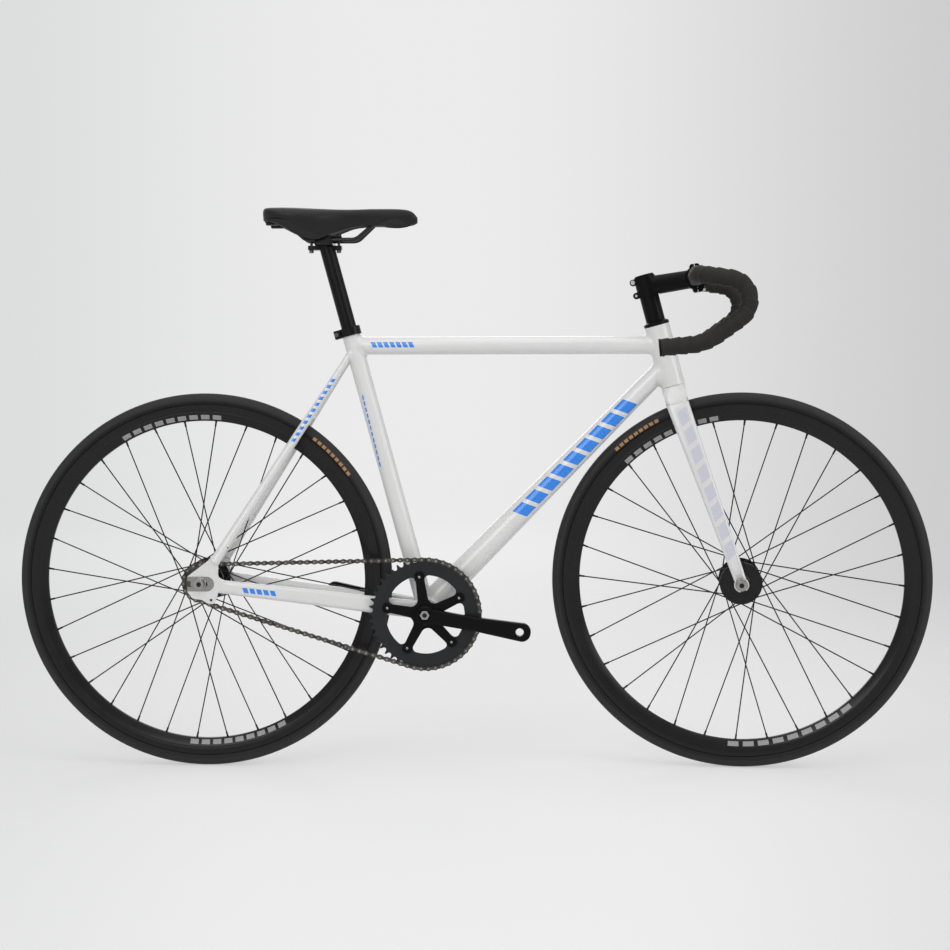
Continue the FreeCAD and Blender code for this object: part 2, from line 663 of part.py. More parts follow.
def left_track_end():
    """A plate with an axle slot open to the rear, a raised facing round it and tongues in both stays."""
    inner = REAR_HUB_WIDTH / 2
    outer = inner + TRACK_END_THICKNESS
    body = plate(TRACK_END_OUTLINE, inner, outer)
    back = 2 * TRACK_END_OUTLINE[0][0]
    half_slot = REAR_AXLE_RADIUS + AXLE_SLOT_CLEARANCE
    slot = plate(
        [
            (back, half_slot, 0),
            (TRACK_SLOT_LENGTH, half_slot, half_slot * 0.95),
            (TRACK_SLOT_LENGTH, -half_slot, half_slot * 0.95),
            (back, -half_slot, 0),
        ],
        inner,
        outer,
    )
    facing = plate(
        [
            (back, TRACK_FACING_RADIUS, 0),
            (TRACK_FACING_REACH, TRACK_FACING_RADIUS, TRACK_FACING_RADIUS * 0.95),
            (TRACK_FACING_REACH, -TRACK_FACING_RADIUS, TRACK_FACING_RADIUS * 0.95),
            (back, -TRACK_FACING_RADIUS, 0),
        ],
        outer - TRACK_FACING_DEPTH,
        outer,
    )
    eyelet = rod(Vector(0, inner, 0), Vector(0, outer, 0), EYELET_RADIUS)
    eyelet = moved(eyelet, Vector(EYELET_REACH, 0, -EYELET_DROP))
    return moved(body.cut([slot, facing, eyelet]), REAR_AXLE)


def seat_clamp():
    """A split collar round the top of the seat tube, with two ears at the rear for its bolt."""
    bottom = SEAT_TUBE_LENGTH - SEAT_COLLAR_HEIGHT
    outer = SEAT_TUBE_RADIUS + SEAT_COLLAR_WALL
    back = outer + COLLAR_EAR_REACH
    ears = Part.makeBox(
        back - SEAT_TUBE_RADIUS / 2,
        2 * COLLAR_EAR_HALF_WIDTH,
        SEAT_COLLAR_HEIGHT,
        Vector(-back, -COLLAR_EAR_HALF_WIDTH, bottom),
    )
    slot_corner = Vector(-back, -SEAT_SLOT_WIDTH / 2, bottom)
    slot = Part.makeBox(back, SEAT_SLOT_WIDTH, SEAT_COLLAR_HEIGHT, slot_corner)
    bolt_hole = rod(
        COLLAR_BOLT - SIDEWAYS * COLLAR_EAR_HALF_WIDTH,
        COLLAR_BOLT + SIDEWAYS * COLLAR_EAR_HALF_WIDTH,
        COLLAR_BOLT_RADIUS + SHANK_CLEARANCE,
    )
    body = ring_up(0, outer, bottom, SEAT_TUBE_LENGTH).fuse(ears)
    bore = ring_up(0, SEAT_TUBE_RADIUS, bottom, SEAT_TUBE_LENGTH)
    return placed(body.cut([bore, slot, bolt_hole]), SEAT_FRAME)


def bolt(shank_radius, shank_end, seat, head_radius, head_height):
    """A bolt along Y: its head stands on the seat plane, on the +Y side of its shank."""
    shank = prism(Vector(0, shank_end, 0), Vector(0, seat, 0), shank_radius, BOLT_SIDES)
    head = prism(Vector(0, seat, 0), Vector(0, seat + head_height, 0), head_radius, BOLT_SIDES)
    return merged([shank, head])


def seat_clamp_bolt():
    body = bolt(COLLAR_BOLT_RADIUS, -COLLAR_EAR_HALF_WIDTH, COLLAR_EAR_HALF_WIDTH, 4.3, 4.5)
    return placed(moved(mirrored(body), COLLAR_BOLT), SEAT_FRAME)


# Axles, hubs and wheels are turned about the Y axis, then carried to their places.


def axle(radius, shoulder_start, hub_width, end):
    """An axle with a shoulder at each end that bears on the frame, and a threaded hole in each end."""
    face = hub_width / 2
    half = [
        (0, 0),
        (radius, 0),
        (radius, shoulder_start),
        (AXLE_SHOULDER_RADIUS, shoulder_start),
        (AXLE_SHOULDER_RADIUS, face),
        (radius, face),
        (radius, end),
        (AXLE_THREAD_RADIUS, end),
        (AXLE_THREAD_RADIUS, end - AXLE_THREAD_DEPTH),
        (0, end - AXLE_THREAD_DEPTH),
    ]
    side = lathe(half)
    return merged([side, mirrored(side)])


def axle_bolts(seat):
    """The two bolts that clamp an axle: a broad flange, a round head and a hexagon socket."""
    flange = 2.0
    end = seat + AXLE_BOLT_HEIGHT
    head = lathe(
        [
            (0, seat),
            (AXLE_FLANGE_RADIUS, seat),
            (AXLE_FLANGE_RADIUS, seat + flange),
            (AXLE_BOLT_RADIUS, seat + flange),
            (AXLE_BOLT_RADIUS, end),
            (0, end),
        ]
    )
    shank_end = Vector(0, seat - AXLE_THREAD_DEPTH + 4.0, 0)
    shank = prism(shank_end, Vector(0, seat, 0), AXLE_THREAD_RADIUS - SHANK_CLEARANCE, BOLT_SIDES)
    body = merged([head, shank]).cut(hex_socket(AXLE_SOCKET, end - AXLE_SOCKET_DEPTH, end))
    return Part.makeCompound([body, mirrored(body)])


def bearing_pair(axle_radius, left_end, right_end):
    bore = axle_radius + RUNNING_CLEARANCE
    left = ring(bore, HUB_BEARING_RADIUS, left_end - HUB_BEARING_WIDTH, left_end)
    right = ring(bore, HUB_BEARING_RADIUS, -right_end, -right_end + HUB_BEARING_WIDTH)
    return Part.makeCompound([left, right])


def hub_bore(left_end, right_end):
    """The cutter for a hub's inside: a bearing seat at each end and a wider axle tunnel between."""
    tunnel = ring(0, HUB_BEARING_RADIUS - 1.5, -right_end, left_end)
    left = ring(0, HUB_BEARING_RADIUS, left_end - HUB_BEARING_WIDTH, left_end)
    right = ring(0, HUB_BEARING_RADIUS, -right_end, -right_end + HUB_BEARING_WIDTH)
    return [tunnel, left, right]


def hub_side(end):
    """Half of a hub shell: a waisted barrel, a tall spoke flange and a stepped end, on the +Y side."""
    near = FLANGE_OFFSET - FLANGE_HALF_THICKNESS
    return lathe(
        [
            (0, 0),
            (HUB_BARREL_RADIUS, 0),
            (HUB_BARREL_RADIUS, near - 12),
            (HUB_BARREL_RADIUS + 6, near - 1.5),
            (FLANGE_RADIUS, near),
            (FLANGE_RADIUS, FLANGE_FACE),
            (HUB_BARREL_RADIUS + 2, FLANGE_FACE),
            (HUB_BARREL_RADIUS, end),
            (0, end),
        ]
    )


def front_hub():
    side = hub_side(FRONT_HUB_END)
    return merged([side, mirrored(side)]).cut(hub_bore(FRONT_HUB_END, FRONT_HUB_END))


def rear_hub():
    """The rear hub: its right end has a shoulder for the cog and a threaded nose for cog and lockring."""
    left = hub_side(REAR_HUB_END)
    right = mirrored(hub_side((FLANGE_FACE + COG_FACE) / 2))
    shoulder = ring(0, HUB_THREAD_RADIUS + 3, -COG_FACE, -FLANGE_FACE)
    nose = ring(0, HUB_THREAD_RADIUS, -REAR_HUB_END, -COG_FACE)
    return merged([left, right, shoulder, nose]).cut(hub_bore(REAR_HUB_END, REAR_HUB_END))


def rim():
    """A hollow rim: spoke bed inside, sloping sides, straight edges and a channel for the tyre."""
    seat = RIM_HALF_WIDTH - RIM_HOOK
    knee = RIM_BED_RADIUS + RIM_KNEE_HEIGHT
    outside = lathe(
        [
            (RIM_BED_RADIUS, -RIM_BED_HALF_WIDTH),
            (RIM_BED_RADIUS, RIM_BED_HALF_WIDTH),
            (knee, RIM_HALF_WIDTH),
            (RIM_EDGE_RADIUS, RIM_HALF_WIDTH),
            (RIM_EDGE_RADIUS, seat),
            (RIM_SEAT_RADIUS, seat),
            (RIM_SEAT_RADIUS, -seat),
            (RIM_EDGE_RADIUS, -seat),
            (RIM_EDGE_RADIUS, -RIM_HALF_WIDTH),
            (knee, -RIM_HALF_WIDTH),
        ]
    )
    bed = RIM_BED_HALF_WIDTH * 0.75
    cavity = lathe(
        [
            (RIM_BED_RADIUS + RIM_WALL, -bed),
            (RIM_BED_RADIUS + RIM_WALL, bed),
            (knee, seat),
            (RIM_SEAT_RADIUS - RIM_WALL, seat),
            (RIM_SEAT_RADIUS - RIM_WALL, -seat),
            (knee, -seat),
        ]
    )
    return outside.cut(cavity)


def tyre():
    """A slick tyre on its rim: a round casing, open inside, with two feet in the rim's channel."""
    section = TYRE_WIDTH / 2
    centre = TYRE_RADIUS - section
    foot = RIM_HALF_WIDTH - RIM_HOOK
    shoulder = math.sqrt(section**2 - (centre - RIM_EDGE_RADIUS) ** 2)
    inner_foot = foot - TYRE_WALL
    hollow = section - TYRE_WALL
    feet = [
        Vector(RIM_EDGE_RADIUS, shoulder, 0),
        Vector(RIM_EDGE_RADIUS, foot, 0),
        Vector(RIM_SEAT_RADIUS, foot, 0),
        Vector(RIM_SEAT_RADIUS, inner_foot, 0),
        Vector(centre + hollow * 0.8, hollow * 0.8, 0),
    ]
    opposite = [Vector(point.x, -point.y, 0) for point in reversed(feet)]
    crown = Part.Arc(opposite[-1], Vector(TYRE_RADIUS, 0, 0), feet[0]).toShape()
    outline = Part.Wire([crown] + Part.makePolygon(feet + opposite).Edges)
    return Part.Face(outline).revolve(Vector(), SIDEWAYS, 360)


def crossing(start, end, radius):
    """Where the line from start to end passes out through a cylinder about the Y axis."""
    along = (end - start).normalize()
    flat = Vector(along.x, 0, along.z)
    foot = Vector(start.x, 0, start.z)
    square = flat.dot(flat)
    slant = foot.dot(flat)
    reach = (math.sqrt(slant**2 - square * (foot.dot(foot) - radius**2)) - slant) / square
    return start + along * reach


def spoke(inner, outer):
    """A flat-sided rod between two points, its ends square to the wheel's radius there."""
    along = (outer - inner).normalize()
    turn = Rotation(UPWARD, along)
    rings = []
    for point in (inner, outer):
        radial = Vector(point.x, 0, point.z).normalize()
        corners = []
        for index in range(SPOKE_SIDES):
            angle = 2 * math.pi * index / SPOKE_SIDES
            offset = turn.multVec(Vector(SPOKE_RADIUS * math.cos(angle), SPOKE_RADIUS * math.sin(angle), 0))
            corners.append(point + offset - along * (offset.dot(radial) / along.dot(radial)))
        rings.append(corners)
    low, high = rings
    outlines = [low, high]
    for index in range(SPOKE_SIDES):
        outlines.append([low[index - 1], low[index], high[index], high[index - 1]])
    faces = [Part.Face(Part.makePolygon(outline + outline[:1])) for outline in outlines]
    return Part.makeSolid(Part.makeShell(faces))


def spokes(phase):
    """Crossed spokes from both flanges to the rim's bed, leading and trailing ones side by side."""
    spacing = 360.0 / SPOKES_PER_SIDE
    lead = SPOKE_CROSSES * spacing
    rods = []
    for side in (-1, 1):
        start = phase if side < 0 else phase + spacing / 2
        for index in range(SPOKES_PER_SIDE):
            rim_angle = start + index * spacing
            turn = 1 if index % 2 else -1
            hole = polar(SPOKE_HOLE_RADIUS, rim_angle + turn * lead)
            rim_end = polar(RIM_BED_RADIUS, rim_angle)
            flange_end = crossing(hole, rim_end, FLANGE_RADIUS)
            flange_y = side * (FLANGE_OFFSET + turn * SPOKE_STAGGER)
            rim_y = side * SPOKE_RIM_OFFSET
            rods.append(spoke(flange_end + SIDEWAYS * flange_y, rim_end + SIDEWAYS * rim_y))
    return Part.makeCompound(rods)


# The drive


def pitch_radius(teeth):
    return CHAIN_PITCH / (2 * math.sin(math.pi / teeth))


def chain_pins():
    """Where the chain's pins lie, anticlockwise as seen from the right, and the first pin on each sprocket.

    Pins lie in the sprockets' seats, evenly about the line of centres, and share the straight runs.
    """
    line = REAR_AXLE - BOTTOM_BRACKET
    to_cog = math.degrees(math.atan2(line.z, line.x))
    lean = math.degrees(math.asin((pitch_radius(RING_TEETH) - pitch_radius(COG_TEETH)) / line.Length))
    ring_step = 360.0 / RING_TEETH
    cog_step = 360.0 / COG_TEETH
    ring_count = round((180 + 2 * lean) / ring_step) + 1
    cog_count = round((180 - 2 * lean) / cog_step) + 1
    ring_count += (ring_count + cog_count) % 2
    ring_first = to_cog + 180 - (ring_count - 1) / 2 * ring_step
    cog_first = to_cog - (cog_count - 1) / 2 * cog_step
    on_ring = [
        BOTTOM_BRACKET + polar(pitch_radius(RING_TEETH), ring_first + i * ring_step)
        for i in range(ring_count)
    ]
    on_cog = [
        REAR_AXLE + polar(pitch_radius(COG_TEETH), cog_first + i * cog_step) for i in range(cog_count)
    ]
    pins = on_ring + run_pins(on_ring[-1], on_cog[0]) + on_cog + run_pins(on_cog[-1], on_ring[0])
    return pins, ring_first, cog_first


def run_pins(start, end):
    """The pins of a straight run, without its two ends."""
    count = round((end - start).Length / CHAIN_PITCH)
    return [start + (end - start) * (i / count) for i in range(1, count)]


CHAIN_PINS, RING_FIRST_SEAT, COG_FIRST_SEAT = chain_pins()


def sprocket(teeth, first_seat):
    """A toothed disc about the Y axis: a round seat for each roller and a tapered tooth between seats."""
    step = 360.0 / teeth
    radius = pitch_radius(teeth)
    seat = ROLLER_RADIUS + ROLLER_CLEARANCE
    tip = radius + TOOTH_HEIGHT
    tip_half_angle = math.degrees(TOOTH_TIP_WIDTH / 2 / tip)
    low = Vector(0, -SPROCKET_THICKNESS / 2, 0)
    starts, tips, arcs = [], [], []
    for index in range(teeth):
        angle = first_seat + index * step
        centre = polar(radius, angle) + low
        points = [centre + polar(seat, angle + 180 + turn) for turn in (SEAT_SPREAD, 0, -SEAT_SPREAD)]
        arcs.append(Part.Arc(*points).toShape())
        starts.append(points[0])
        tooth = angle + step / 2
        corners = [polar(tip, tooth + turn) + low for turn in (-tip_half_angle, tip_half_angle)]
        tips.append([points[2]] + corners)
    edges = []
    for index in range(teeth):
        edges.append(arcs[index])
        edges += Part.makePolygon(tips[index] + [starts[(index + 1) % teeth]]).Edges
    return Part.Face(Part.Wire(edges)).extrude(SIDEWAYS * SPROCKET_THICKNESS)


def cog():
    bore = ring(0, HUB_THREAD_RADIUS, -SPROCKET_THICKNESS, SPROCKET_THICKNESS)
    disc = sprocket(COG_TEETH, COG_FIRST_SEAT).cut(bore)
    return moved(disc, REAR_AXLE - SIDEWAYS * CHAIN_LINE)


def lockring():
    """The ring that locks the cog, with slots in its edge for a hook spanner."""
    inner = COG_FACE + SPROCKET_THICKNESS
    size = LOCKRING_THICKNESS
    slots = 4
    body = ring(HUB_THREAD_RADIUS, LOCKRING_RADIUS, -LOCKRING_FACE, -inner)
    notch = Part.makeBox(size, size, size, Vector(LOCKRING_RADIUS - size / 2, -LOCKRING_FACE, -size / 2))
    notches = [at_angle(notch, 360.0 / slots * i) for i in range(slots)]
    return moved(body.cut(notches), REAR_AXLE)


def link_plate(start, end, low):
    """One link's side plate between two pins, with pointed ends, PLATE_THICKNESS thick from low."""
    along = (end - start).normalize()
    across = SIDEWAYS.cross(along)
    half = PLATE_HEIGHT / 2
    nose = half / 2
    length = (end - start).Length
    offsets = [(-half, 0), (-nose, half), (length + nose, half)]
    offsets += [(length - u, -v) for u, v in offsets]
    corners = [start + along * u + across * v + SIDEWAYS * low for u, v in offsets]
    face = Part.Face(Part.makePolygon(corners + corners[:1]))
    return face.extrude(SIDEWAYS * PLATE_THICKNESS)


def roller(pin):
    half = SIDEWAYS * (CHAIN_INNER_WIDTH / 2)
    return prism(pin - half, pin + half, ROLLER_RADIUS, 6)


def chain_links(first, with_rollers, inner_face):
    """Every second link of the chain: two side plates, and in an inner link the two rollers between them."""
    count = len(CHAIN_PINS)
    links = []
    for index in range(first, count, 2):
        start = CHAIN_PINS[index]
        end = CHAIN_PINS[(index + 1) % count]
        plates = [link_plate(start, end, low) for low in (inner_face, -inner_face - PLATE_THICKNESS)]
        if with_rollers:
            links.append(merged(plates + [roller(start), roller(end)]))
        else:
            links += plates
    return moved(Part.makeCompound(links), -SIDEWAYS * CHAIN_LINE)


def chain_inner_links():
    return chain_links(0, True, CHAIN_INNER_WIDTH / 2)


def chain_outer_links():
    return chain_links(1, False, CHAIN_INNER_WIDTH / 2 + PLATE_THICKNESS)


def crank_spindle():
    """The spindle through the bottom bracket: round in its bearings, square in the cranks."""
    middle = ring(0, SPINDLE_RADIUS, -CRANK_BOSS_FACE, CRANK_BOSS_FACE)
    corner = SPINDLE_SQUARE / math.sqrt(2)
    square = prism(
        Vector(0, -SPINDLE_HALF_LENGTH, 0), Vector(0, SPINDLE_HALF_LENGTH, 0), corner, 4
    )
    thread = ring(0, CRANK_BOLT_RADIUS + SHANK_CLEARANCE, SPINDLE_HALF_LENGTH - 25, SPINDLE_HALF_LENGTH)
    spindle = merged([middle, square]).cut([thread, mirrored(thread)])
    return moved(at_angle(spindle, CRANK_ANGLE), BOTTOM_BRACKET)


def crank_bolts():
    body = bolt(CRANK_BOLT_RADIUS, SPINDLE_HALF_LENGTH - 20, SPINDLE_HALF_LENGTH, 9.0, 6.0)
    return moved(Part.makeCompound([body, mirrored(body)]), BOTTOM_BRACKET)


def crank_arm():
    """A crank on the +Y side, pointing along +X: a boss on the spindle and an arm, wider at the pedal."""
    half = CRANK_WIDTH / 2
    end = CRANK_LENGTH + CRANK_END_REACH
    arm = plate(
        [
            (0, half, 0),
            (CRANK_LENGTH * 0.55, half, CRANK_FLARE_RADIUS),
            (end, CRANK_END_RADIUS, CRANK_END_RADIUS * 0.9),
            (end, -CRANK_END_RADIUS, CRANK_END_RADIUS * 0.9),
            (CRANK_LENGTH * 0.55, -half, CRANK_FLARE_RADIUS),
            (0, -half, 0),
        ],
        CRANK_INNER_FACE,
        CRANK_OUTER_FACE,
    )
    outer_edges = [edge for edge in arm.Edges if edge.BoundBox.YMin > CRANK_OUTER_FACE - 1e-6]
    far_edges = [edge for edge in outer_edges if edge.BoundBox.XMax > 1e-6]
    arm = arm.makeChamfer(CRANK_EDGE_BEVEL, far_edges)
    boss = lathe(
        [
            (0, CRANK_BOSS_FACE),
            (CRANK_BOSS_RADIUS, CRANK_BOSS_FACE),
            (CRANK_BOSS_RADIUS, CRANK_OUTER_FACE - 3),
            (CRANK_BOSS_RADIUS - 3, CRANK_OUTER_FACE),
            (0, CRANK_OUTER_FACE),
        ]
    )
    return merged([boss, arm])


def crank_holes():
    corner = SPINDLE_SQUARE / math.sqrt(2)
    square = prism(Vector(0, CRANK_BOSS_FACE, 0), Vector(0, CRANK_OUTER_FACE, 0), corner, 4)
    recess = ring(0, 10.5, SPINDLE_HALF_LENGTH, CRANK_OUTER_FACE)
    pedal = rod(
        Vector(CRANK_LENGTH, CRANK_INNER_FACE, 0),
        Vector(CRANK_LENGTH, CRANK_OUTER_FACE, 0),
        PEDAL_HOLE_RADIUS,
    )
    return [square, recess, pedal]


def left_crank():
    crank = crank_arm().cut(crank_holes())
    return moved(at_angle(crank, CRANK_ANGLE + 180), BOTTOM_BRACKET)


def spider_angles():
    """The spider's arms, in pairs either side of the crank and one opposite it."""
    return [SPIDER_STEP / 2 + i * SPIDER_STEP for i in range(SPIDER_ARMS)]


def bolt_holes():
    """Cutters for the chainring's bolt holes, in the crank's own frame."""
    hole = rod(
        Vector(BOLT_CIRCLE_RADIUS, 0, 0),
        Vector(BOLT_CIRCLE_RADIUS, CRANK_OUTER_FACE, 0),
        RING_BOLT_RADIUS + SHANK_CLEARANCE,
    )
    return [at_angle(hole, angle) for angle in spider_angles()]


def windows(low, high):
    """Cutters for the rounded openings between the spider's arms, in the crank's own frame."""
    half_step = math.radians(SPIDER_STEP / 2)
    inner_x = SPIDER_ROOT_HALF_WIDTH / math.sin(half_step)
    outer_x = RING_INNER_RADIUS * math.cos(half_step) + SPIDER_TIP_HALF_WIDTH * math.sin(half_step)
    outer_z = RING_INNER_RADIUS * math.sin(half_step) - SPIDER_TIP_HALF_WIDTH * math.cos(half_step)
    window = plate(
        [
            (inner_x, 0, WINDOW_INNER_ROUND),
            (outer_x, outer_z, WINDOW_OUTER_ROUND),
            (RING_INNER_RADIUS + WINDOW_CREST_RISE, 0, RING_INNER_RADIUS * 0.9),
            (outer_x, -outer_z, WINDOW_OUTER_ROUND),
        ],
        low - 1,
        high + 1,
    )
    return [at_angle(window, angle - SPIDER_STEP / 2) for angle in spider_angles()]


def right_crank():
    """The drive-side crank, with a five-armed spider for the chainring."""
    tip = BOLT_CIRCLE_RADIUS + 9.0
    outer = SPIDER_FACE + SPIDER_THICKNESS
    root_half = SPIDER_ROOT_HALF_WIDTH + 1
    tip_half = SPIDER_TIP_HALF_WIDTH + 1
    arm = plate(
        [(0, root_half, 0), (tip, tip_half, 7.0), (tip, -tip_half, 7.0), (0, -root_half, 0)],
        SPIDER_FACE,
        outer,
    )
    arms = [at_angle(arm, angle) for angle in spider_angles()]
    disc = ring(0, BOLT_CIRCLE_RADIUS * 0.6, SPIDER_FACE, outer)
    spider = merged([disc] + arms).cut(windows(SPIDER_FACE, outer))
    hub = ring(0, SPIDER_HUB_RADIUS, SPIDER_FACE, CRANK_INNER_FACE + 2.0)
    crank = merged([crank_arm(), hub, spider]).cut(crank_holes() + bolt_holes())
    return moved(at_angle(mirrored(crank), CRANK_ANGLE), BOTTOM_BRACKET)


def chainring():
    """A toothed ring that runs in between the windows to five bolted tabs."""
    low = SPIDER_FACE - SPROCKET_THICKNESS
    toothed = moved(sprocket(RING_TEETH, RING_FIRST_SEAT - CRANK_ANGLE), SIDEWAYS * CHAIN_LINE)
    middle = ring(0, BOLT_CIRCLE_RADIUS - 8.5, low - 1, SPIDER_FACE + 1)
    opening = merged([middle] + windows(low, SPIDER_FACE))
    body = toothed.cut(opening).cut(bolt_holes())
    return moved(at_angle(mirrored(body), CRANK_ANGLE), BOTTOM_BRACKET)


def chainring_bolts():
    """Bolts that clamp spider and ring between a flat head and a nut."""
    head_radius = 5.6
    inner = SPIDER_FACE - SPROCKET_THICKNESS
    outer = SPIDER_FACE + SPIDER_THICKNESS
    body = bolt(RING_BOLT_RADIUS, inner, outer, head_radius, 1.6)
    nut = prism(Vector(0, inner - 1.5, 0), Vector(0, inner, 0), head_radius, BOLT_SIDES)
    body = moved(merged([body, nut]), Vector(BOLT_CIRCLE_RADIUS, 0, 0))
    bolts = Part.makeCompound([at_angle(body, angle) for angle in spider_angles()])
    return moved(at_angle(mirrored(bolts), CRANK_ANGLE), BOTTOM_BRACKET)


# The fork, in its own frame: Z along the steering axis, X forward, from the level of the axle.


def fork_steerer():
    """The crown and steerer: shoulders that spread from the head tube to both blades, and a race seat."""
    shoulder_z = FORK_LENGTH - CROWN_SHOULDER
    leg_z = shoulder_z - CROWN_LEG
    width = 2 * BLADE_TOP_OFFSET + BLADE_TOP_WIDTH
    neck = 2 * HEAD_TUBE_RADIUS - 0.4
    top = rounded_section(Vector(0, 0, FORK_LENGTH), neck, neck, neck * 0.48)
    bottom = rounded_section(Vector(0, 0, shoulder_z), BLADE_TOP_LENGTH, width, BLADE_TOP_WIDTH * 0.49)
    shoulder = Part.makeLoft([top, bottom], True, True)
    leg_outline = rounded_section(
        Vector(0, BLADE_TOP_OFFSET, leg_z), BLADE_TOP_LENGTH, BLADE_TOP_WIDTH, BLADE_TOP_WIDTH * 0.49
    )
    leg = Part.Face(leg_outline).extrude(UPWARD * CROWN_LEG)
    steerer = ring_up(0, STEERER_RADIUS, FORK_LENGTH, STEM_TOP - 3.0)
    race = ring_up(0, CROWN_RACE_RADIUS, FORK_LENGTH, HEAD_BOTTOM + BEARING_SEAT_DEPTH - 0.5)
    bore = ring_up(0, STEERER_RADIUS - STEERER_WALL, shoulder_z, STEM_TOP)
    return placed(merged([shoulder, leg, mirrored(leg), steerer, race]).cut(bore), STEERED_FRAME)


def fork_blade():
    """A left blade: a flat tapering bar that spreads to the hub, with a slotted round end for the axle."""
    top_z = FORK_LENGTH - CROWN_SHOULDER - CROWN_LEG
    inner = FRONT_HUB_WIDTH / 2
    outer = inner + FORK_TIP_THICKNESS
    tip_y = (inner + outer) / 2
    tip_z = FORK_TIP_RADIUS * 0.6
    top = rounded_section(
        Vector(0, BLADE_TOP_OFFSET, top_z), BLADE_TOP_LENGTH, BLADE_TOP_WIDTH, BLADE_TOP_WIDTH * 0.49
    )
    tip = rounded_section(
        Vector(FORK_RAKE, tip_y, tip_z), BLADE_TIP_LENGTH, BLADE_TIP_WIDTH, BLADE_TIP_WIDTH * 0.49
    )
    blade = Part.makeLoft([top, tip], True, True)
    hub_room = rod(Vector(FORK_RAKE, 0, 0), Vector(FORK_RAKE, inner, 0), FORK_TIP_RADIUS + 4.0)
    end = rod(Vector(FORK_RAKE, inner, 0), Vector(FORK_RAKE, outer, 0), FORK_TIP_RADIUS)
    half_slot = FRONT_AXLE_RADIUS + AXLE_SLOT_CLEARANCE
    slot_top = rod(Vector(FORK_RAKE, 0, 0), Vector(FORK_RAKE, 2 * outer, 0), half_slot)
    slot_depth = 2 * FORK_TIP_RADIUS
    slot = Part.makeBox(
        2 * half_slot, 2 * outer, slot_depth, Vector(FORK_RAKE - half_slot, 0, -slot_depth)
    )
    bolt_room = rod(Vector(FORK_RAKE, outer, 0), Vector(FORK_RAKE, 2 * outer, 0), FORK_TIP_RADIUS)
    return merged([blade.cut([hub_room, bolt_room]), end]).cut([slot_top, slot])


def headset_cover():
    """The bearing cover that turns with the steerer, with a sleeve that centres it in the upper bearing."""
    bevel = 3.0
    body = lathe_up(
        [
            (STEERER_RADIUS, HEAD_TOP - BEARING_HEIGHT),
            (CROWN_RACE_RADIUS, HEAD_TOP - BEARING_HEIGHT),
            (CROWN_RACE_RADIUS, COVER_BOTTOM),
            (HEADSET_COVER_RADIUS, COVER_BOTTOM),
            (HEADSET_COVER_RADIUS, SPACER_BOTTOM - bevel),
            (SPACER_RADIUS + 1.0, SPACER_BOTTOM),
            (STEERER_RADIUS, SPACER_BOTTOM),
        ]
    )
    return placed(body, STEERED_FRAME)


def headset_spacers():
    rings = []
    bottom = SPACER_BOTTOM
    for height in SPACER_HEIGHTS:
        rings.append(ring_up(STEERER_RADIUS, SPACER_RADIUS, bottom, bottom + height))
        bottom += height
    return placed(Part.makeCompound(rings), STEERED_FRAME)


def bar_clamp():
    """The whole ring that grips the handlebar, with a lug above and below, in the bar's frame."""
    half_width = BAR_CLAMP_WIDTH / 2
    ring_body = ring(0, BAR_CLAMP_RADIUS + BAR_CLAMP_WALL, -half_width, half_width)
    lugs = Part.makeBox(
        2 * FACEPLATE_LUG_DEPTH,
        BAR_CLAMP_WIDTH,
        2 * FACEPLATE_LUG_REACH,
        Vector(-FACEPLATE_LUG_DEPTH, -half_width, -FACEPLATE_LUG_REACH),
    )
    side_edges = [edge for edge in lugs.Edges if abs(edge.tangentAt(0).y) > 0.9]
    return merged([ring_body, lugs.makeChamfer(FACEPLATE_LUG_BEVEL, side_edges)])


def bar_clamp_half(front):
    """Half of the clamp ring, on one side of the split between stem and faceplate."""
    reach = 2 * FACEPLATE_LUG_REACH
    start = FACEPLATE_GAP / 2 if front else -reach - FACEPLATE_GAP / 2
    half_space = Part.makeBox(reach, 2 * reach, 2 * reach, Vector(start, -reach, -reach))
    return placed(bar_clamp().common(half_space), BAR_FRAME)


def faceplate_bolt_places():
    return [
        Vector(0, y, z)
        for y in (-FACEPLATE_BOLT_OFFSET, FACEPLATE_BOLT_OFFSET)
        for z in (-FACEPLATE_BOLT_RISE, FACEPLATE_BOLT_RISE)
    ]


def faceplate_bolt_holes():
    """Cutters for the bolts' shanks, and for their heads in front of the lugs."""
    seat = Vector(FACEPLATE_LUG_DEPTH, 0, 0)
    holes = []
    for place in faceplate_bolt_places():
        holes.append(rod(place - seat, place + seat, STEM_BOLT_RADIUS + SHANK_CLEARANCE))
        holes.append(rod(place + seat, place + seat * 3, STEM_BOLT_HEAD_RADIUS + SHANK_CLEARANCE))
    return [placed(hole, BAR_FRAME) for hole in holes]


def bar_bore():
    bore = ring(0, BAR_CLAMP_RADIUS, -BAR_CLAMP_WIDTH, BAR_CLAMP_WIDTH)
    return placed(bore, BAR_FRAME)


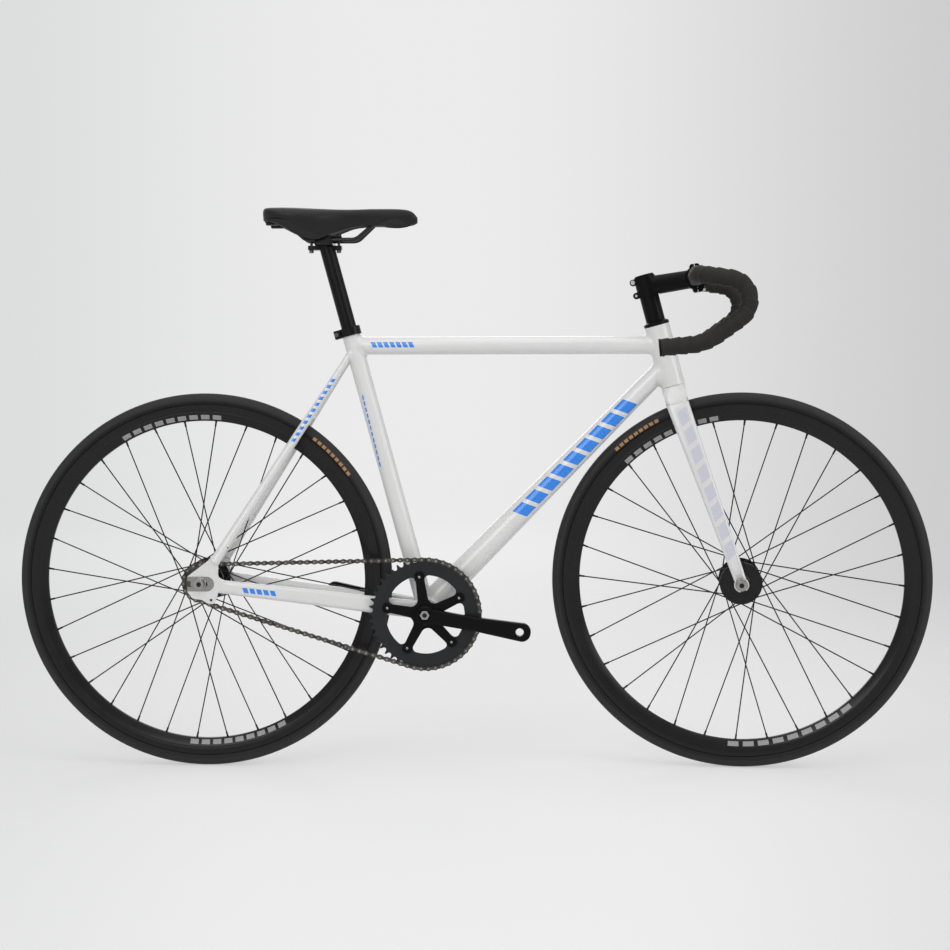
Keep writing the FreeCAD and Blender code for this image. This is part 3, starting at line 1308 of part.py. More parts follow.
def stem():
    """A forged stem: split clamp on the steerer, tapered extension and the rear half of the bar clamp."""
    clamp = ring_up(0, STEM_CLAMP_RADIUS, STEM_BOTTOM, STEM_TOP)
    half = STEM_LUG_HALF_WIDTH
    ears = []
    for z in STEM_LUG_BOLT_HEIGHTS:
        centre = Vector(STEM_LUG_BOLT_X, 0, z)
        ears.append(rod(centre - SIDEWAYS * half, centre + SIDEWAYS * half, STEM_EAR_RADIUS))
        root = Part.makeBox(-STEM_LUG_BOLT_X / 2, 2 * half, 2 * STEM_EAR_RADIUS)
        ears.append(moved(root, centre - Vector(0, half, STEM_EAR_RADIUS)))
    back = STEM_EAR_RADIUS - STEM_LUG_BOLT_X
    slot = Part.makeBox(
        back, STEM_SLOT_WIDTH, STEM_CLAMP_HEIGHT, Vector(-back, -STEM_SLOT_WIDTH / 2, STEM_BOTTOM)
    )
    extension = tapered(
        Vector(),
        Vector(STEM_LENGTH - FACEPLATE_GAP, 0, 0),
        STEM_EXTENSION_RADIUS,
        STEM_EXTENSION_RADIUS - 1.2,
    )
    steerer_bore = ring_up(0, STEERER_RADIUS, STEM_BOTTOM - 10, STEM_TOP + 10)
    facing = ring_up(0, STEM_CLAMP_RADIUS, STEM_BOTTOM - 10, STEM_BOTTOM)
    lug_holes = [
        rod(
            Vector(STEM_LUG_BOLT_X, -2 * STEM_LUG_HALF_WIDTH, z),
            Vector(STEM_LUG_BOLT_X, 2 * STEM_LUG_HALF_WIDTH, z),
            STEM_BOLT_RADIUS + SHANK_CLEARANCE,
        )
        for z in STEM_LUG_BOLT_HEIGHTS
    ]
    body = merged([clamp, placed(extension, STEM_FRAME), bar_clamp_half(False)] + ears)
    body = body.cut([steerer_bore, facing, slot, bar_bore()] + lug_holes + faceplate_bolt_holes())
    return placed(max(body.Solids, key=lambda solid: solid.Volume), STEERED_FRAME)


def stem_faceplate():
    return placed(bar_clamp_half(True).cut([bar_bore()] + faceplate_bolt_holes()), STEERED_FRAME)


def stem_bolts():
    """Four bolts through the faceplate and two across the steerer clamp."""
    depth = FACEPLATE_LUG_DEPTH
    face_bolt = bolt(STEM_BOLT_RADIUS, -depth, depth, STEM_BOLT_HEAD_RADIUS, STEM_BOLT_HEAD_HEIGHT)
    forward = placed(face_bolt, Placement(Vector(), Rotation(SIDEWAYS, Vector(1, 0, 0))))
    bolts = [placed(moved(forward, place), BAR_FRAME) for place in faceplate_bolt_places()]
    half = STEM_LUG_HALF_WIDTH
    lug_bolt = bolt(STEM_BOLT_RADIUS, -half, half, STEM_BOLT_HEAD_RADIUS, STEM_BOLT_HEAD_HEIGHT)
    for side, height in zip((lug_bolt, mirrored(lug_bolt)), STEM_LUG_BOLT_HEIGHTS):
        bolts.append(moved(side, Vector(STEM_LUG_BOLT_X, 0, height)))
    return placed(Part.makeCompound(bolts), STEERED_FRAME)


def top_cap():
    """The steerer's cap, with the head of its bolt in a recess."""
    radius = STEM_CLAMP_RADIUS - 1.5
    body = lathe_up(
        [
            (0, STEM_TOP),
            (radius, STEM_TOP),
            (radius, STEM_TOP + TOP_CAP_HEIGHT - 1.2),
            (radius - 1.5, STEM_TOP + TOP_CAP_HEIGHT),
            (6.5, STEM_TOP + TOP_CAP_HEIGHT),
            (5.5, STEM_TOP + 1.0),
            (0, STEM_TOP + 1.0),
        ]
    )
    return placed(body, STEERED_FRAME)


# The handlebar is laid out level, about the middle of its clamp, and then turned with the fork.


def bar_half_route(start):
    """The left half of the bar's centre line, from a place on the tops to the end of the drop."""
    return [
        (Vector(0, start, 0), 0),
        (Vector(0, BAR_HALF_WIDTH, 0), BAR_BEND_RADIUS),
        (Vector(BAR_REACH, BAR_HALF_WIDTH, -BAR_RAMP_FALL), BAR_HOOK_TOP_RADIUS),
        (Vector(BAR_REACH, BAR_HALF_WIDTH, -BAR_HOOK_DEPTH), BAR_HOOK_RADIUS),
        (Vector(BAR_HEEL_REACH, BAR_HALF_WIDTH, -BAR_HEEL_DEPTH), BAR_HEEL_RADIUS),
        (Vector(-BAR_TAIL_LENGTH, BAR_HALF_WIDTH, -BAR_TAIL_DEPTH), 0),
    ]


def steered_bar(shape):
    """A piece of the handlebar carried from the level layout into the turned fork."""
    level = moved(shape, HEAD_FRAME.multVec(BAR_CENTRE))
    back_to_fork = placed(level, HEAD_FRAME.inverse())
    return placed(back_to_fork, STEERED_FRAME)


def handlebar():
    """One bent tube, swelling to a thicker middle where the stem grips it."""
    left = bar_half_route(0)
    right = [(Vector(point.x, -point.y, point.z), radius) for point, radius in reversed(left)]
    path = rounded_wire(right[:-1] + left[1:], closed=False)
    middle = lathe(
        [
            (0, -BAR_TAPER_END),
            (BAR_RADIUS, -BAR_TAPER_END),
            (BAR_CLAMP_RADIUS, -BAR_BULGE_HALF_WIDTH),
            (BAR_CLAMP_RADIUS, BAR_BULGE_HALF_WIDTH),
            (BAR_RADIUS, BAR_TAPER_END),
            (0, BAR_TAPER_END),
        ]
    )
    return steered_bar(merged([sweep(path, BAR_RADIUS), middle]))


def bar_tape():
    """The left half's tape: a thick sleeve along the bar, from the tops to the end of the drop."""
    path = rounded_wire(bar_half_route(TAPE_START), closed=False)
    return sweep(path, BAR_RADIUS + TAPE_THICKNESS).cut(sweep(path, BAR_RADIUS))


def bar_end_plugs():
    route = bar_half_route(TAPE_START)
    end = route[-1][0]
    outward = (end - route[-2][0]).normalize()
    plug = rod(end, end + outward * 4.0, BAR_RADIUS + TAPE_THICKNESS - 1.0)
    return steered_bar(Part.makeCompound([plug, mirrored(plug)]))


# The seatpost and the saddle


def clamp_bolt_holes():
    holes = []
    for x in (-CLAMP_BOLT_OFFSET, CLAMP_BOLT_OFFSET):
        low = POST_CENTRE + Vector(x, 0, 2 * HEAD_BLOCK_BOTTOM)
        high = POST_CENTRE + Vector(x, 0, 2 * CLAMP_TOP)
        holes.append(rod(low, high, CLAMP_BOLT_RADIUS + SHANK_CLEARANCE))
    return holes


def rail_grooves():
    length = Vector(2 * CLAMP_BOLT_OFFSET, 0, 0)
    return [
        rod(POST_CENTRE - length + SIDEWAYS * y, POST_CENTRE + length + SIDEWAYS * y, RAIL_RADIUS)
        for y in (-RAIL_OFFSET, RAIL_OFFSET)
    ]


def block(length, width, low, high, round_radius):
    """A block about the seatpost's centre, with upright edges rounded, from low to high."""
    outline = rounded_section(POST_CENTRE + UPWARD * low, length, width, round_radius)
    return Part.Face(outline).extrude(UPWARD * (high - low))


def seatpost():
    """A plain tube whose top is a level head with an ear for a clamp bolt at front and back."""
    bottom = seat_axis_point(SEAT_TUBE_LENGTH - SEATPOST_INSERTION)
    neck_end = POST_CENTRE + SEAT_UP * (HEAD_BLOCK_BOTTOM - 6)
    tube = rod(bottom, POST_CENTRE, SEATPOST_RADIUS)
    bore = rod(bottom, neck_end, SEATPOST_RADIUS - SEATPOST_WALL)
    head = block(2 * CLAMP_BOLT_OFFSET + 11, 21, HEAD_BLOCK_BOTTOM, CRADLE_BOTTOM, 5)
    room = 4 * SEATPOST_RADIUS
    above = block(room, room, CRADLE_BOTTOM, CRADLE_BOTTOM + room, SEATPOST_RADIUS)
    return merged([tube, head]).cut([bore, above] + clamp_bolt_holes())


def lower_saddle_clamp():
    cradle = block(32, 2 * RAIL_OFFSET + 13, CRADLE_BOTTOM, -CLAMP_GAP, 4)
    return cradle.cut(rail_grooves())


def upper_saddle_clamp():
    """The clamp's lid: a bar across both rails and a spine that the two bolts pull down."""
    across = block(28, 2 * RAIL_OFFSET + 12, CLAMP_GAP, CLAMP_TOP, 4)
    spine = block(2 * CLAMP_BOLT_OFFSET + 11, 18, CLAMP_GAP, CLAMP_TOP, 5)
    return merged([across, spine]).cut(rail_grooves() + clamp_bolt_holes())


def saddle_clamp_bolts():
    """Two upright bolts, heads under the post's ears and nuts on the lid."""
    body = bolt(CLAMP_BOLT_RADIUS, -CLAMP_TOP, -HEAD_BLOCK_BOTTOM, 4.0, 5.0)
    nut = prism(Vector(0, -CLAMP_TOP - 4, 0), Vector(0, -CLAMP_TOP, 0), 4.6, BOLT_SIDES)
    upright = placed(merged([body, nut]), Placement(Vector(), Rotation(SIDEWAYS, -UPWARD)))
    places = [POST_CENTRE + Vector(x, 0, 0) for x in (-CLAMP_BOLT_OFFSET, CLAMP_BOLT_OFFSET)]
    return Part.makeCompound([moved(upright, place) for place in places])


def saddle_section(station, inset, padding, drop):
    """A closed outline across the saddle: a flat foot, drawn-in sides and a crowned top."""
    x, half_width, crown, skirt = station
    shoulder_width = half_width - inset
    foot_width = shoulder_width * 0.86
    top = crown - padding
    foot = skirt - drop
    shoulder = top - 0.35 * (top - foot) * min(1.0, half_width / 40.0)
    waist = (shoulder + foot) / 2

    def point(y, z):
        return POST_CENTRE + Vector(x, y, z)

    left_foot = point(foot_width, foot)
    right_foot = point(-foot_width, foot)
    left_shoulder = point(shoulder_width, shoulder)
    right_shoulder = point(-shoulder_width, shoulder)
    bulge = (shoulder_width + foot_width) / 2 + 1.5
    return Part.Wire(
        [
            Part.makeLine(right_foot, left_foot),
            Part.Arc(left_foot, point(bulge, waist), left_shoulder).toShape(),
            Part.Arc(left_shoulder, point(0, top), right_shoulder).toShape(),
            Part.Arc(right_shoulder, point(-bulge, waist), right_foot).toShape(),
        ]
    )


def saddle_loft(inset, padding, drop, end_inset):
    """A smooth solid through the stations, drawn in by the given amounts."""
    first = SADDLE_STATIONS[0][0] + end_inset
    last = SADDLE_STATIONS[-1][0] - end_inset
    sections = []
    for station in SADDLE_STATIONS:
        x = min(max(station[0], first), last)
        sections.append(saddle_section((x,) + station[1:], inset, padding, drop))
    return Part.makeLoft(sections, True, False)


SADDLE_OUTSIDE = saddle_loft(0, 0, 0, 0)
SADDLE_HOLLOW = saddle_loft(SADDLE_SIDE_WALL, SADDLE_PADDING, 8.0, 6.0)


def saddle_cover():
    """The padded cover: crowned on top, with skirts that come down over the shell."""
    return SADDLE_OUTSIDE.cut(SADDLE_HOLLOW)


def saddle_shell():
    """The moulded base inside the cover, with a socket for the rails at the nose and two at the back."""
    wall = SADDLE_SHELL_WALL
    inside = saddle_loft(
        SADDLE_SIDE_WALL + wall, SADDLE_PADDING + wall, 14.0, 6.0 + wall
    )
    roof = SADDLE_STATIONS[1][2] - SADDLE_PADDING
    half = RAIL_NOSE_OFFSET + SOCKET_WALL
    nose_corner = Vector(RAIL_NOSE_REACH - SOCKET_DEPTH, -half, SADDLE_STATIONS[5][3] - 1)
    nose = Part.makeBox(2 * SOCKET_DEPTH, 2 * half, roof, POST_CENTRE + nose_corner)
    spread = 2 * RAIL_TAIL_SPREAD
    back_corner = Vector(-RAIL_TAIL_REACH - RAIL_TAIL_SPREAD, RAIL_OFFSET, SADDLE_STATIONS[1][3] - 3)
    back = Part.makeBox(SOCKET_DEPTH + SOCKET_WALL, spread, roof, POST_CENTRE + back_corner)
    filled = SADDLE_OUTSIDE.common(SADDLE_HOLLOW)
    sockets = [solid.common(SADDLE_HOLLOW) for solid in (nose, back, mirrored(back))]
    return merged([filled.cut(inside)] + sockets)


def saddle_rails():
    """Two wires, bent up at the front and the back into the shell's sockets."""
    route = [
        (POST_CENTRE + Vector(RAIL_NOSE_REACH, RAIL_NOSE_OFFSET, RAIL_NOSE_RISE), 0),
        (POST_CENTRE + Vector(RAIL_FRONT_BEND, RAIL_OFFSET, 0), RAIL_FRONT_ROUND),
        (POST_CENTRE + Vector(-RAIL_REAR_BEND, RAIL_OFFSET, 0), RAIL_REAR_ROUND),
        (POST_CENTRE + Vector(-RAIL_TAIL_REACH, RAIL_OFFSET + RAIL_TAIL_SPREAD, RAIL_TAIL_RISE), 0),
    ]
    wire = sweep(rounded_wire(route, closed=False), RAIL_RADIUS).cut(saddle_shell())
    wire = max(wire.Solids, key=lambda solid: solid.Volume)
    return Part.makeCompound([wire, mirrored(wire)])


# Every piece is written under its own name.


def in_rear_wheel(shape):
    return moved(shape, REAR_AXLE)


def in_front_wheel(shape):
    """A wheel piece carried into the fork, with the spokes' upright kept upright."""
    upright = at_angle(shape, HEAD_TUBE_ANGLE - 90)
    return placed(moved(upright, Vector(FORK_RAKE, 0, 0)), STEERED_FRAME)


def in_fork(shape):
    return placed(moved(shape, Vector(FORK_RAKE, 0, 0)), STEERED_FRAME)


def build():
    plain_tyre = tyre()
    plain_rim = rim()
    chainstay = left_chainstay()
    seatstay = left_seatstay()
    track_end = left_track_end()
    blade = fork_blade()
    tape = bar_tape()
    rear_bolt_seat = REAR_HUB_WIDTH / 2 + TRACK_END_THICKNESS - TRACK_FACING_DEPTH
    front_bolt_seat = FRONT_HUB_WIDTH / 2 + FORK_TIP_THICKNESS
    rear_axle = axle(REAR_AXLE_RADIUS, REAR_HUB_END + MOVING_GAP, REAR_HUB_WIDTH, rear_bolt_seat)
    front_axle = axle(FRONT_AXLE_RADIUS, FRONT_HUB_END + MOVING_GAP, FRONT_HUB_WIDTH, front_bolt_seat)
    return {
        "head_tube": head_tube(),
        "headset_bearings": headset_bearings(),
        "top_tube": top_tube(),
        "down_tube": down_tube(),
        "seat_tube": seat_tube(),
        "bottom_bracket_shell": bottom_bracket_shell(),
        "bottom_bracket_cups": bottom_bracket_cups(),
        "left_chainstay": chainstay,
        "right_chainstay": mirrored(chainstay),
        "left_seatstay": seatstay,
        "right_seatstay": mirrored(seatstay),
        "stay_bridges": stay_bridges(),
        "left_track_end": track_end,
        "right_track_end": mirrored(track_end),
        "seat_clamp": seat_clamp(),
        "seat_clamp_bolt": seat_clamp_bolt(),
        "rear_axle": in_rear_wheel(rear_axle),
        "rear_axle_bolts": in_rear_wheel(axle_bolts(rear_bolt_seat)),
        "rear_hub": in_rear_wheel(rear_hub()),
        "rear_hub_bearings": in_rear_wheel(bearing_pair(REAR_AXLE_RADIUS, REAR_HUB_END, REAR_HUB_END)),
        "rear_rim": in_rear_wheel(plain_rim),
        "rear_tyre": in_rear_wheel(plain_tyre),
        "rear_spokes": in_rear_wheel(spokes(REAR_SPOKE_PHASE)),
        "cog": cog(),
        "lockring": lockring(),
        "chain_inner_links": chain_inner_links(),
        "chain_outer_links": chain_outer_links(),
        "crank_spindle": crank_spindle(),
        "crank_bolts": crank_bolts(),
        "left_crank": left_crank(),
        "right_crank": right_crank(),
        "chainring": chainring(),
        "chainring_bolts": chainring_bolts(),
        "fork_steerer": fork_steerer(),
        "left_fork_blade": placed(blade, STEERED_FRAME),
        "right_fork_blade": placed(mirrored(blade), STEERED_FRAME),
        "front_axle": in_fork(front_axle),
        "front_axle_bolts": in_fork(axle_bolts(front_bolt_seat)),
        "front_hub": in_front_wheel(front_hub()),
        "front_hub_bearings": in_front_wheel(bearing_pair(FRONT_AXLE_RADIUS, FRONT_HUB_END, FRONT_HUB_END)),
        "front_rim": in_front_wheel(plain_rim),
        "front_tyre": in_front_wheel(plain_tyre),
        "front_spokes": in_front_wheel(spokes(FRONT_SPOKE_PHASE)),
        "headset_cover": headset_cover(),
        "headset_spacers": headset_spacers(),
        "stem": stem(),
        "stem_faceplate": stem_faceplate(),
        "stem_bolts": stem_bolts(),
        "top_cap": top_cap(),
        "handlebar": handlebar(),
        "bar_tape": steered_bar(Part.makeCompound([tape, mirrored(tape)])),
        "bar_end_plugs": bar_end_plugs(),
        "seatpost": seatpost(),
        "lower_saddle_clamp": lower_saddle_clamp(),
        "upper_saddle_clamp": upper_saddle_clamp(),
        "saddle_clamp_bolts": saddle_clamp_bolts(),
        "saddle_rails": saddle_rails(),
        "saddle_shell": saddle_shell(),
        "saddle_cover": saddle_cover(),
    }


os.makedirs("parts", exist_ok=True)
for name, shape in build().items():
    shape.exportStep("parts/" + name + ".step")
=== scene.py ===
import json
import math

import bmesh
import bpy
from mathutils import Matrix, Vector


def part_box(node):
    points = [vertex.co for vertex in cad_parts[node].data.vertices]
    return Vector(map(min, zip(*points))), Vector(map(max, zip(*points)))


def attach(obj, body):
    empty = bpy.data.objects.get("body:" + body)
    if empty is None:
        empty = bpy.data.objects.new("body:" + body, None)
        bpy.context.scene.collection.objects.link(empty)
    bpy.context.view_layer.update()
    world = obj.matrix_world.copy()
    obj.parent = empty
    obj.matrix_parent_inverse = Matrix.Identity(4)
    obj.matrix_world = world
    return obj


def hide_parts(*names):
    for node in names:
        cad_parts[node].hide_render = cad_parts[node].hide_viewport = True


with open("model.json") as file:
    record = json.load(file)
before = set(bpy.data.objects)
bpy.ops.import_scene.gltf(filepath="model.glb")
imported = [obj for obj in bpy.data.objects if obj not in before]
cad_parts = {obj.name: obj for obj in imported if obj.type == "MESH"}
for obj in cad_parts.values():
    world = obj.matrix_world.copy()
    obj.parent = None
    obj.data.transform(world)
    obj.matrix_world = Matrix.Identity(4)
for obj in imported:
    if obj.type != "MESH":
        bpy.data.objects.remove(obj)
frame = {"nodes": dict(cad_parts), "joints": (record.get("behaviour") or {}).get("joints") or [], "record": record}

bl_info = {
    "name": "Fixed gear bicycle",
    "version": (1, 0, 0),
    "blender": (4, 5, 0),
    "location": "3D View > Sidebar > Bicycle",
    "description": "Dresses the packed bicycle with finished pieces, materials and a plain stage",
    "category": "Object",
}

MM = 0.001
UP = Vector((0, 0, 1))
LEFT = Vector((0, 1, 0))
ORIGIN = Matrix.Identity(4)
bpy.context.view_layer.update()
JOINTS = {joint["name"]: joint for joint in frame["joints"]}
MOUNTS = {mount["name"]: mount for mount in frame["record"]["mounts"]}
REAR_AXLE = Vector(JOINTS["rear_wheel_spin"]["pos_m"])
FRONT_AXLE = Vector(JOINTS["front_wheel_spin"]["pos_m"])
FRONT_AXIS = Vector(JOINTS["front_wheel_spin"]["axis"])
BOTTOM_BRACKET = Vector(JOINTS["crank_spin"]["pos_m"])
STEER_POINT = Vector(JOINTS["steering"]["pos_m"])
STEER_AXIS = Vector(JOINTS["steering"]["axis"])
SEAT_AXIS = Vector(JOINTS["seatpost_slide"]["axis"])
CHAIN_LINE = -46.0 * MM


def frame_of(centre, side, ahead=None):
    """A matrix at a centre: local Y to the side, and local Z upright or square to a given way ahead."""
    side = side.normalized()
    up = ahead.cross(side).normalized() if ahead else (UP - side * side.dot(UP)).normalized()
    ahead = side.cross(up)
    matrix = Matrix((ahead, side, up)).transposed().to_4x4()
    matrix.translation = centre
    return matrix


CRANK_ARM = Vector(MOUNTS["right_pedal_hole"]["pos_m"]) - BOTTOM_BRACKET
REAR_FRAME = frame_of(REAR_AXLE, LEFT)
FRONT_FRAME = frame_of(FRONT_AXLE, FRONT_AXIS)
CRANK_FRAME = frame_of(BOTTOM_BRACKET, LEFT, Vector((CRANK_ARM.x, 0.0, CRANK_ARM.z)))


def fork_frame():
    """The turned fork's matrix: local Z up the steering axis, local Y along the front axle."""
    ahead = FRONT_AXIS.cross(STEER_AXIS)
    matrix = Matrix((ahead, FRONT_AXIS, STEER_AXIS)).transposed().to_4x4()
    rise = (FRONT_AXLE - STEER_POINT).dot(STEER_AXIS)
    matrix.translation = STEER_POINT + STEER_AXIS * rise
    return matrix


FORK_FRAME = fork_frame()


# Sizes and colours that a user would change


def colour_setting(name, description, default):
    return bpy.props.FloatVectorProperty(
        name=name, description=description, subtype="COLOR", size=3, default=default
    )


def length_setting(name, description, default):
    return bpy.props.FloatProperty(
        name=name, description=description, unit="LENGTH", default=default * MM
    )


class BicyclePaint(bpy.types.PropertyGroup):
    """Colours of the painted and printed surfaces."""

    frame_white: colour_setting("Frame", "Colour of the frame and fork", (0.69, 0.692, 0.685))
    print_blue: colour_setting("Blocks", "Colour of the frame's printed blocks", (0.013, 0.215, 0.76))
    print_pale: colour_setting("Fork blocks", "Colour of the fork's printed blocks", (0.58, 0.578, 0.66))
    black: colour_setting("Black parts", "Colour of the anodised parts", (0.007, 0.007, 0.0073))


class BicycleWheels(bpy.types.PropertyGroup):
    """Sizes of the wheels' repeated pieces."""

    spoke_radius: length_setting("Spoke radius", "Half of a spoke's thickness", 1.12)
    nipple_length: length_setting("Nipple length", "Length of a spoke nipple outside the rim", 9.0)
    segments: bpy.props.IntProperty(
        name="Segments", description="Steps round a tyre or a rim", default=288, min=48
    )


class BicycleGrip(bpy.types.PropertyGroup):
    """Sizes of the bar tape's wrap."""

    pitch: length_setting("Wrap pitch", "Distance between two edges of the tape along the bar", 19.0)
    step: length_setting("Wrap step", "Height of the tape's overlapping edge", 2.0)


class BicycleStage(bpy.types.PropertyGroup):
    """Levels of the floor, the backdrop and the lamps."""

    floor: bpy.props.FloatProperty(
        name="Floor", description="Grey level of the floor", default=0.80, min=0, max=1
    )
    lamp: bpy.props.FloatProperty(
        name="Lamps", description="Strength of the soft lamps", unit="POWER", default=60.0, min=0
    )


# Shader maths


def maths(operation, flipped=False):
    """A method that adds a maths node; flipped, the other value comes first."""

    def method(self, *others):
        values = (*others, self) if flipped else (self, *others)
        return self.paint.node("ShaderNodeMath", {"operation": operation}, *values)

    return method


class Field:
    """A shader socket that takes part in sums and products as a number does."""

    def __init__(self, paint, socket):
        self.paint = paint
        self.socket = socket

    def math(self, operation, *values):
        return maths(operation)(self, *values)

    __add__ = __radd__ = maths("ADD")
    __sub__ = maths("SUBTRACT")
    __rsub__ = maths("SUBTRACT", True)
    __mul__ = maths("MULTIPLY")
    __truediv__ = maths("DIVIDE")
    __gt__ = maths("GREATER_THAN")
    __lt__ = maths("LESS_THAN")
    __abs__ = maths("ABSOLUTE")

    def ramp(self, low, high):
        """0 below low, 1 above high and a smooth step between."""
        settings = {"interpolation_type": "SMOOTHSTEP"}
        return self.paint.node("ShaderNodeMapRange", settings, self, low, high, 0.0, 1.0)


class Paint:
    """A node material: fixed values sit on the surface shader, and fields are linked to it."""

    def __init__(self, name, **fixed):
        self.material = bpy.data.materials.new(name)
        self.material.use_nodes = True
        self.tree = self.material.node_tree
        self.shader = self.tree.nodes["Principled BSDF"]
        for socket, value in fixed.items():
            self.fill(self.shader.inputs[socket.replace("_", " ")], value)

    def fill(self, socket, value):
        if isinstance(value, Field):
            self.tree.links.new(value.socket, socket)
        elif socket.type == "RGBA":
            socket.default_value = (*value[:3], 1.0)
        else:
            socket.default_value = value

    def node(self, kind, settings, *values, output=0, **named):
        """Adds a node: its settings first, then its sockets by order or by name."""
        made = self.tree.nodes.new(kind)
        for key, value in (settings or {}).items():
            setattr(made, key, value)
        for socket, value in zip(made.inputs, values):
            self.fill(socket, value)
        for key, value in named.items():
            self.fill(made.inputs[key.replace("_", " ")], value)
        return Field(self, made.outputs[output])

    def place(self, matrix=None, stretch=(1.0, 1.0, 1.0)):
        """The piece's own coordinates in metres, seen from a matrix if one is given."""
        where = self.node("ShaderNodeTexCoord", None, output=3)
        if matrix is None and stretch == (1.0, 1.0, 1.0):
            return where
        matrix = matrix or ORIGIN
        return self.node(
            "ShaderNodeMapping", {"vector_type": "TEXTURE"}, where,
            Location=matrix.translation, Rotation=matrix.to_euler(), Scale=stretch,
        )

    def parts(self, where):
        made = self.tree.nodes.new("ShaderNodeSeparateXYZ")
        self.fill(made.inputs[0], where)
        return [Field(self, socket) for socket in made.outputs]

    def noise(self, where, scale, detail=2.0):
        return self.node("ShaderNodeTexNoise", None, Vector=where, Scale=scale, Detail=detail)

    def cells(self, where, scale, feature="F1"):
        return self.node("ShaderNodeTexVoronoi", {"feature": feature}, Vector=where, Scale=scale)

    def blend(self, factor, first, second):
        """A mix of two colours, which may be plain or linked."""
        made = self.tree.nodes.new("ShaderNodeMix")
        made.data_type = "RGBA"
        for index, value in ((0, factor), (6, first), (7, second)):
            self.fill(made.inputs[index], value)
        return Field(self, made.outputs[2])

    def bump(self, height, distance, strength=1.0):
        return self.node("ShaderNodeBump", None, Strength=strength, Distance=distance, Height=height)

    def finish(self, **fields):
        for socket, field in fields.items():
            self.fill(self.shader.inputs[socket.replace("_", " ")], field)
        return self.material


BLOCK_SLANT = 0.45
WHEEL_BLOCKS = 9.0
WHEEL_FILL = 0.72
RIM_PRINT = (289.5, 297.5)
TYRE_PRINT = (319.2, 325.2)
SLOT_REACH = 12.7 * MM


def tint(colour, amount):
    return tuple(channel * amount for channel in colour)


def length_of(x, z):
    """The distance of a point from an axis, from its two coordinates across it."""
    return (x * x + z * z).math("SQRT")


def tube_blocks(paint, start, end, height, count, fill=0.74):
    """1 on slanted printed blocks that share a run along a tube, 0 elsewhere."""
    way = end - start
    x, _, z = paint.parts(paint.place(frame_of(start, LEFT, way)))
    run = (x + z * BLOCK_SLANT) / way.length
    cell = (run * float(count)).math("FRACT")
    marks = (run > 0.0) * (run < 1.0) * (abs(z) < height / 2) * (cell < fill)
    if not start.y:
        return marks
    _, facing, _ = paint.parts(paint.node("ShaderNodeTexCoord", None, output=1))
    return marks * (facing < 0.0)


def wheel_blocks(x, z, radii, arcs):
    """1 on printed blocks along arcs about an axle, between two radii; the arcs are in degrees."""
    radius = length_of(x, z)
    turn = z.math("ARCTAN2", x) * (180.0 / math.pi)
    ring = (radius > radii[0] * MM) * (radius < radii[1] * MM)
    marks = 0.0
    for start, end in arcs:
        run = (turn - start).math("WRAP", 360.0, 0.0) / (end - start)
        cell = (run * WHEEL_BLOCKS).math("FRACT")
        marks = marks + ring * (run < 1.0) * (cell < WHEEL_FILL)
    return marks


def frame_paint(name, colour, bare_centre=None, blocks=None, ink=None):
    """Gloss paint with a faint orange peel; round a bare centre, a machined stadium of metal shows."""
    paint = Paint(name, Coat_Weight=0.45, Coat_Roughness=0.08)
    where = paint.place()
    cloud = paint.noise(where, 9.0, 3.0)
    peel = paint.noise(where, 620.0, 1.0)
    base = paint.blend(cloud, tint(colour, 0.965), tint(colour, 1.015))
    rough = 0.2 + cloud * 0.1
    for block in blocks or ():
        base = paint.blend(tube_blocks(paint, *block), base, ink)
    if bare_centre is not None:
        x, _, z = paint.parts(where)
        ahead = (x - (bare_centre.x + SLOT_REACH)).math("MAXIMUM", 0.0)
        bare = 1.0 - length_of(ahead, z - bare_centre.z).ramp(12.9 * MM, 13.2 * MM)
        streak = paint.noise(paint.place(None, (0.08, 1.0, 0.002)), 1.0, 3.0)
        metal = paint.blend(streak, (0.2, 0.195, 0.185), (0.36, 0.35, 0.34))
        base = paint.blend(bare, base, metal)
        rough = rough + bare * 0.12
        paint.finish(Metallic=bare)
    return paint.finish(Base_Color=base, Roughness=rough, Normal=paint.bump(peel, 0.02 * MM, 0.35))


def mottled(paint, cloud, shades, rough, spread, height, depth, strength):
    """Ends a material: two colours and a gloss that follow a cloud, and a relief in millimetres."""
    return paint.finish(
        Base_Color=paint.blend(cloud, *shades),
        Roughness=rough + cloud * spread,
        Normal=paint.bump(height, depth * MM, strength),
    )


def anodised(name, colour, roughness, shine):
    """Dyed aluminium: a fine blasted grain and slightly uneven gloss."""
    paint = Paint(name, Specular_IOR_Level=shine)
    where = paint.place()
    cloud = paint.noise(where, 24.0, 3.0)
    grain = paint.noise(where, 2600.0, 2.0)
    shades = (tint(colour, 0.8), tint(colour, 1.35))
    return mottled(paint, cloud, shades, roughness - 0.06, 0.12, grain, 0.012, 0.5)


def turned_alloy(name, colour, matrix, roughness, arcs=()):
    """Dyed aluminium with fine circular tool marks about an axle and pale printed blocks along arcs."""
    paint = Paint(name, Specular_IOR_Level=0.25)
    x, _, z = paint.parts(paint.place(matrix))
    radius = length_of(x, z)
    rings = (radius * 9000.0).math("SINE")
    cloud = paint.noise(paint.place(), 30.0, 3.0)
    base = paint.blend(cloud, tint(colour, 0.8), tint(colour, 1.4))
    if arcs:
        base = paint.blend(wheel_blocks(x, z, RIM_PRINT, arcs), base, (0.3, 0.3, 0.305))
    return paint.finish(
        Base_Color=base,
        Roughness=roughness + cloud * 0.1,
        Normal=paint.bump(rings, 0.004 * MM, 0.4),
    )


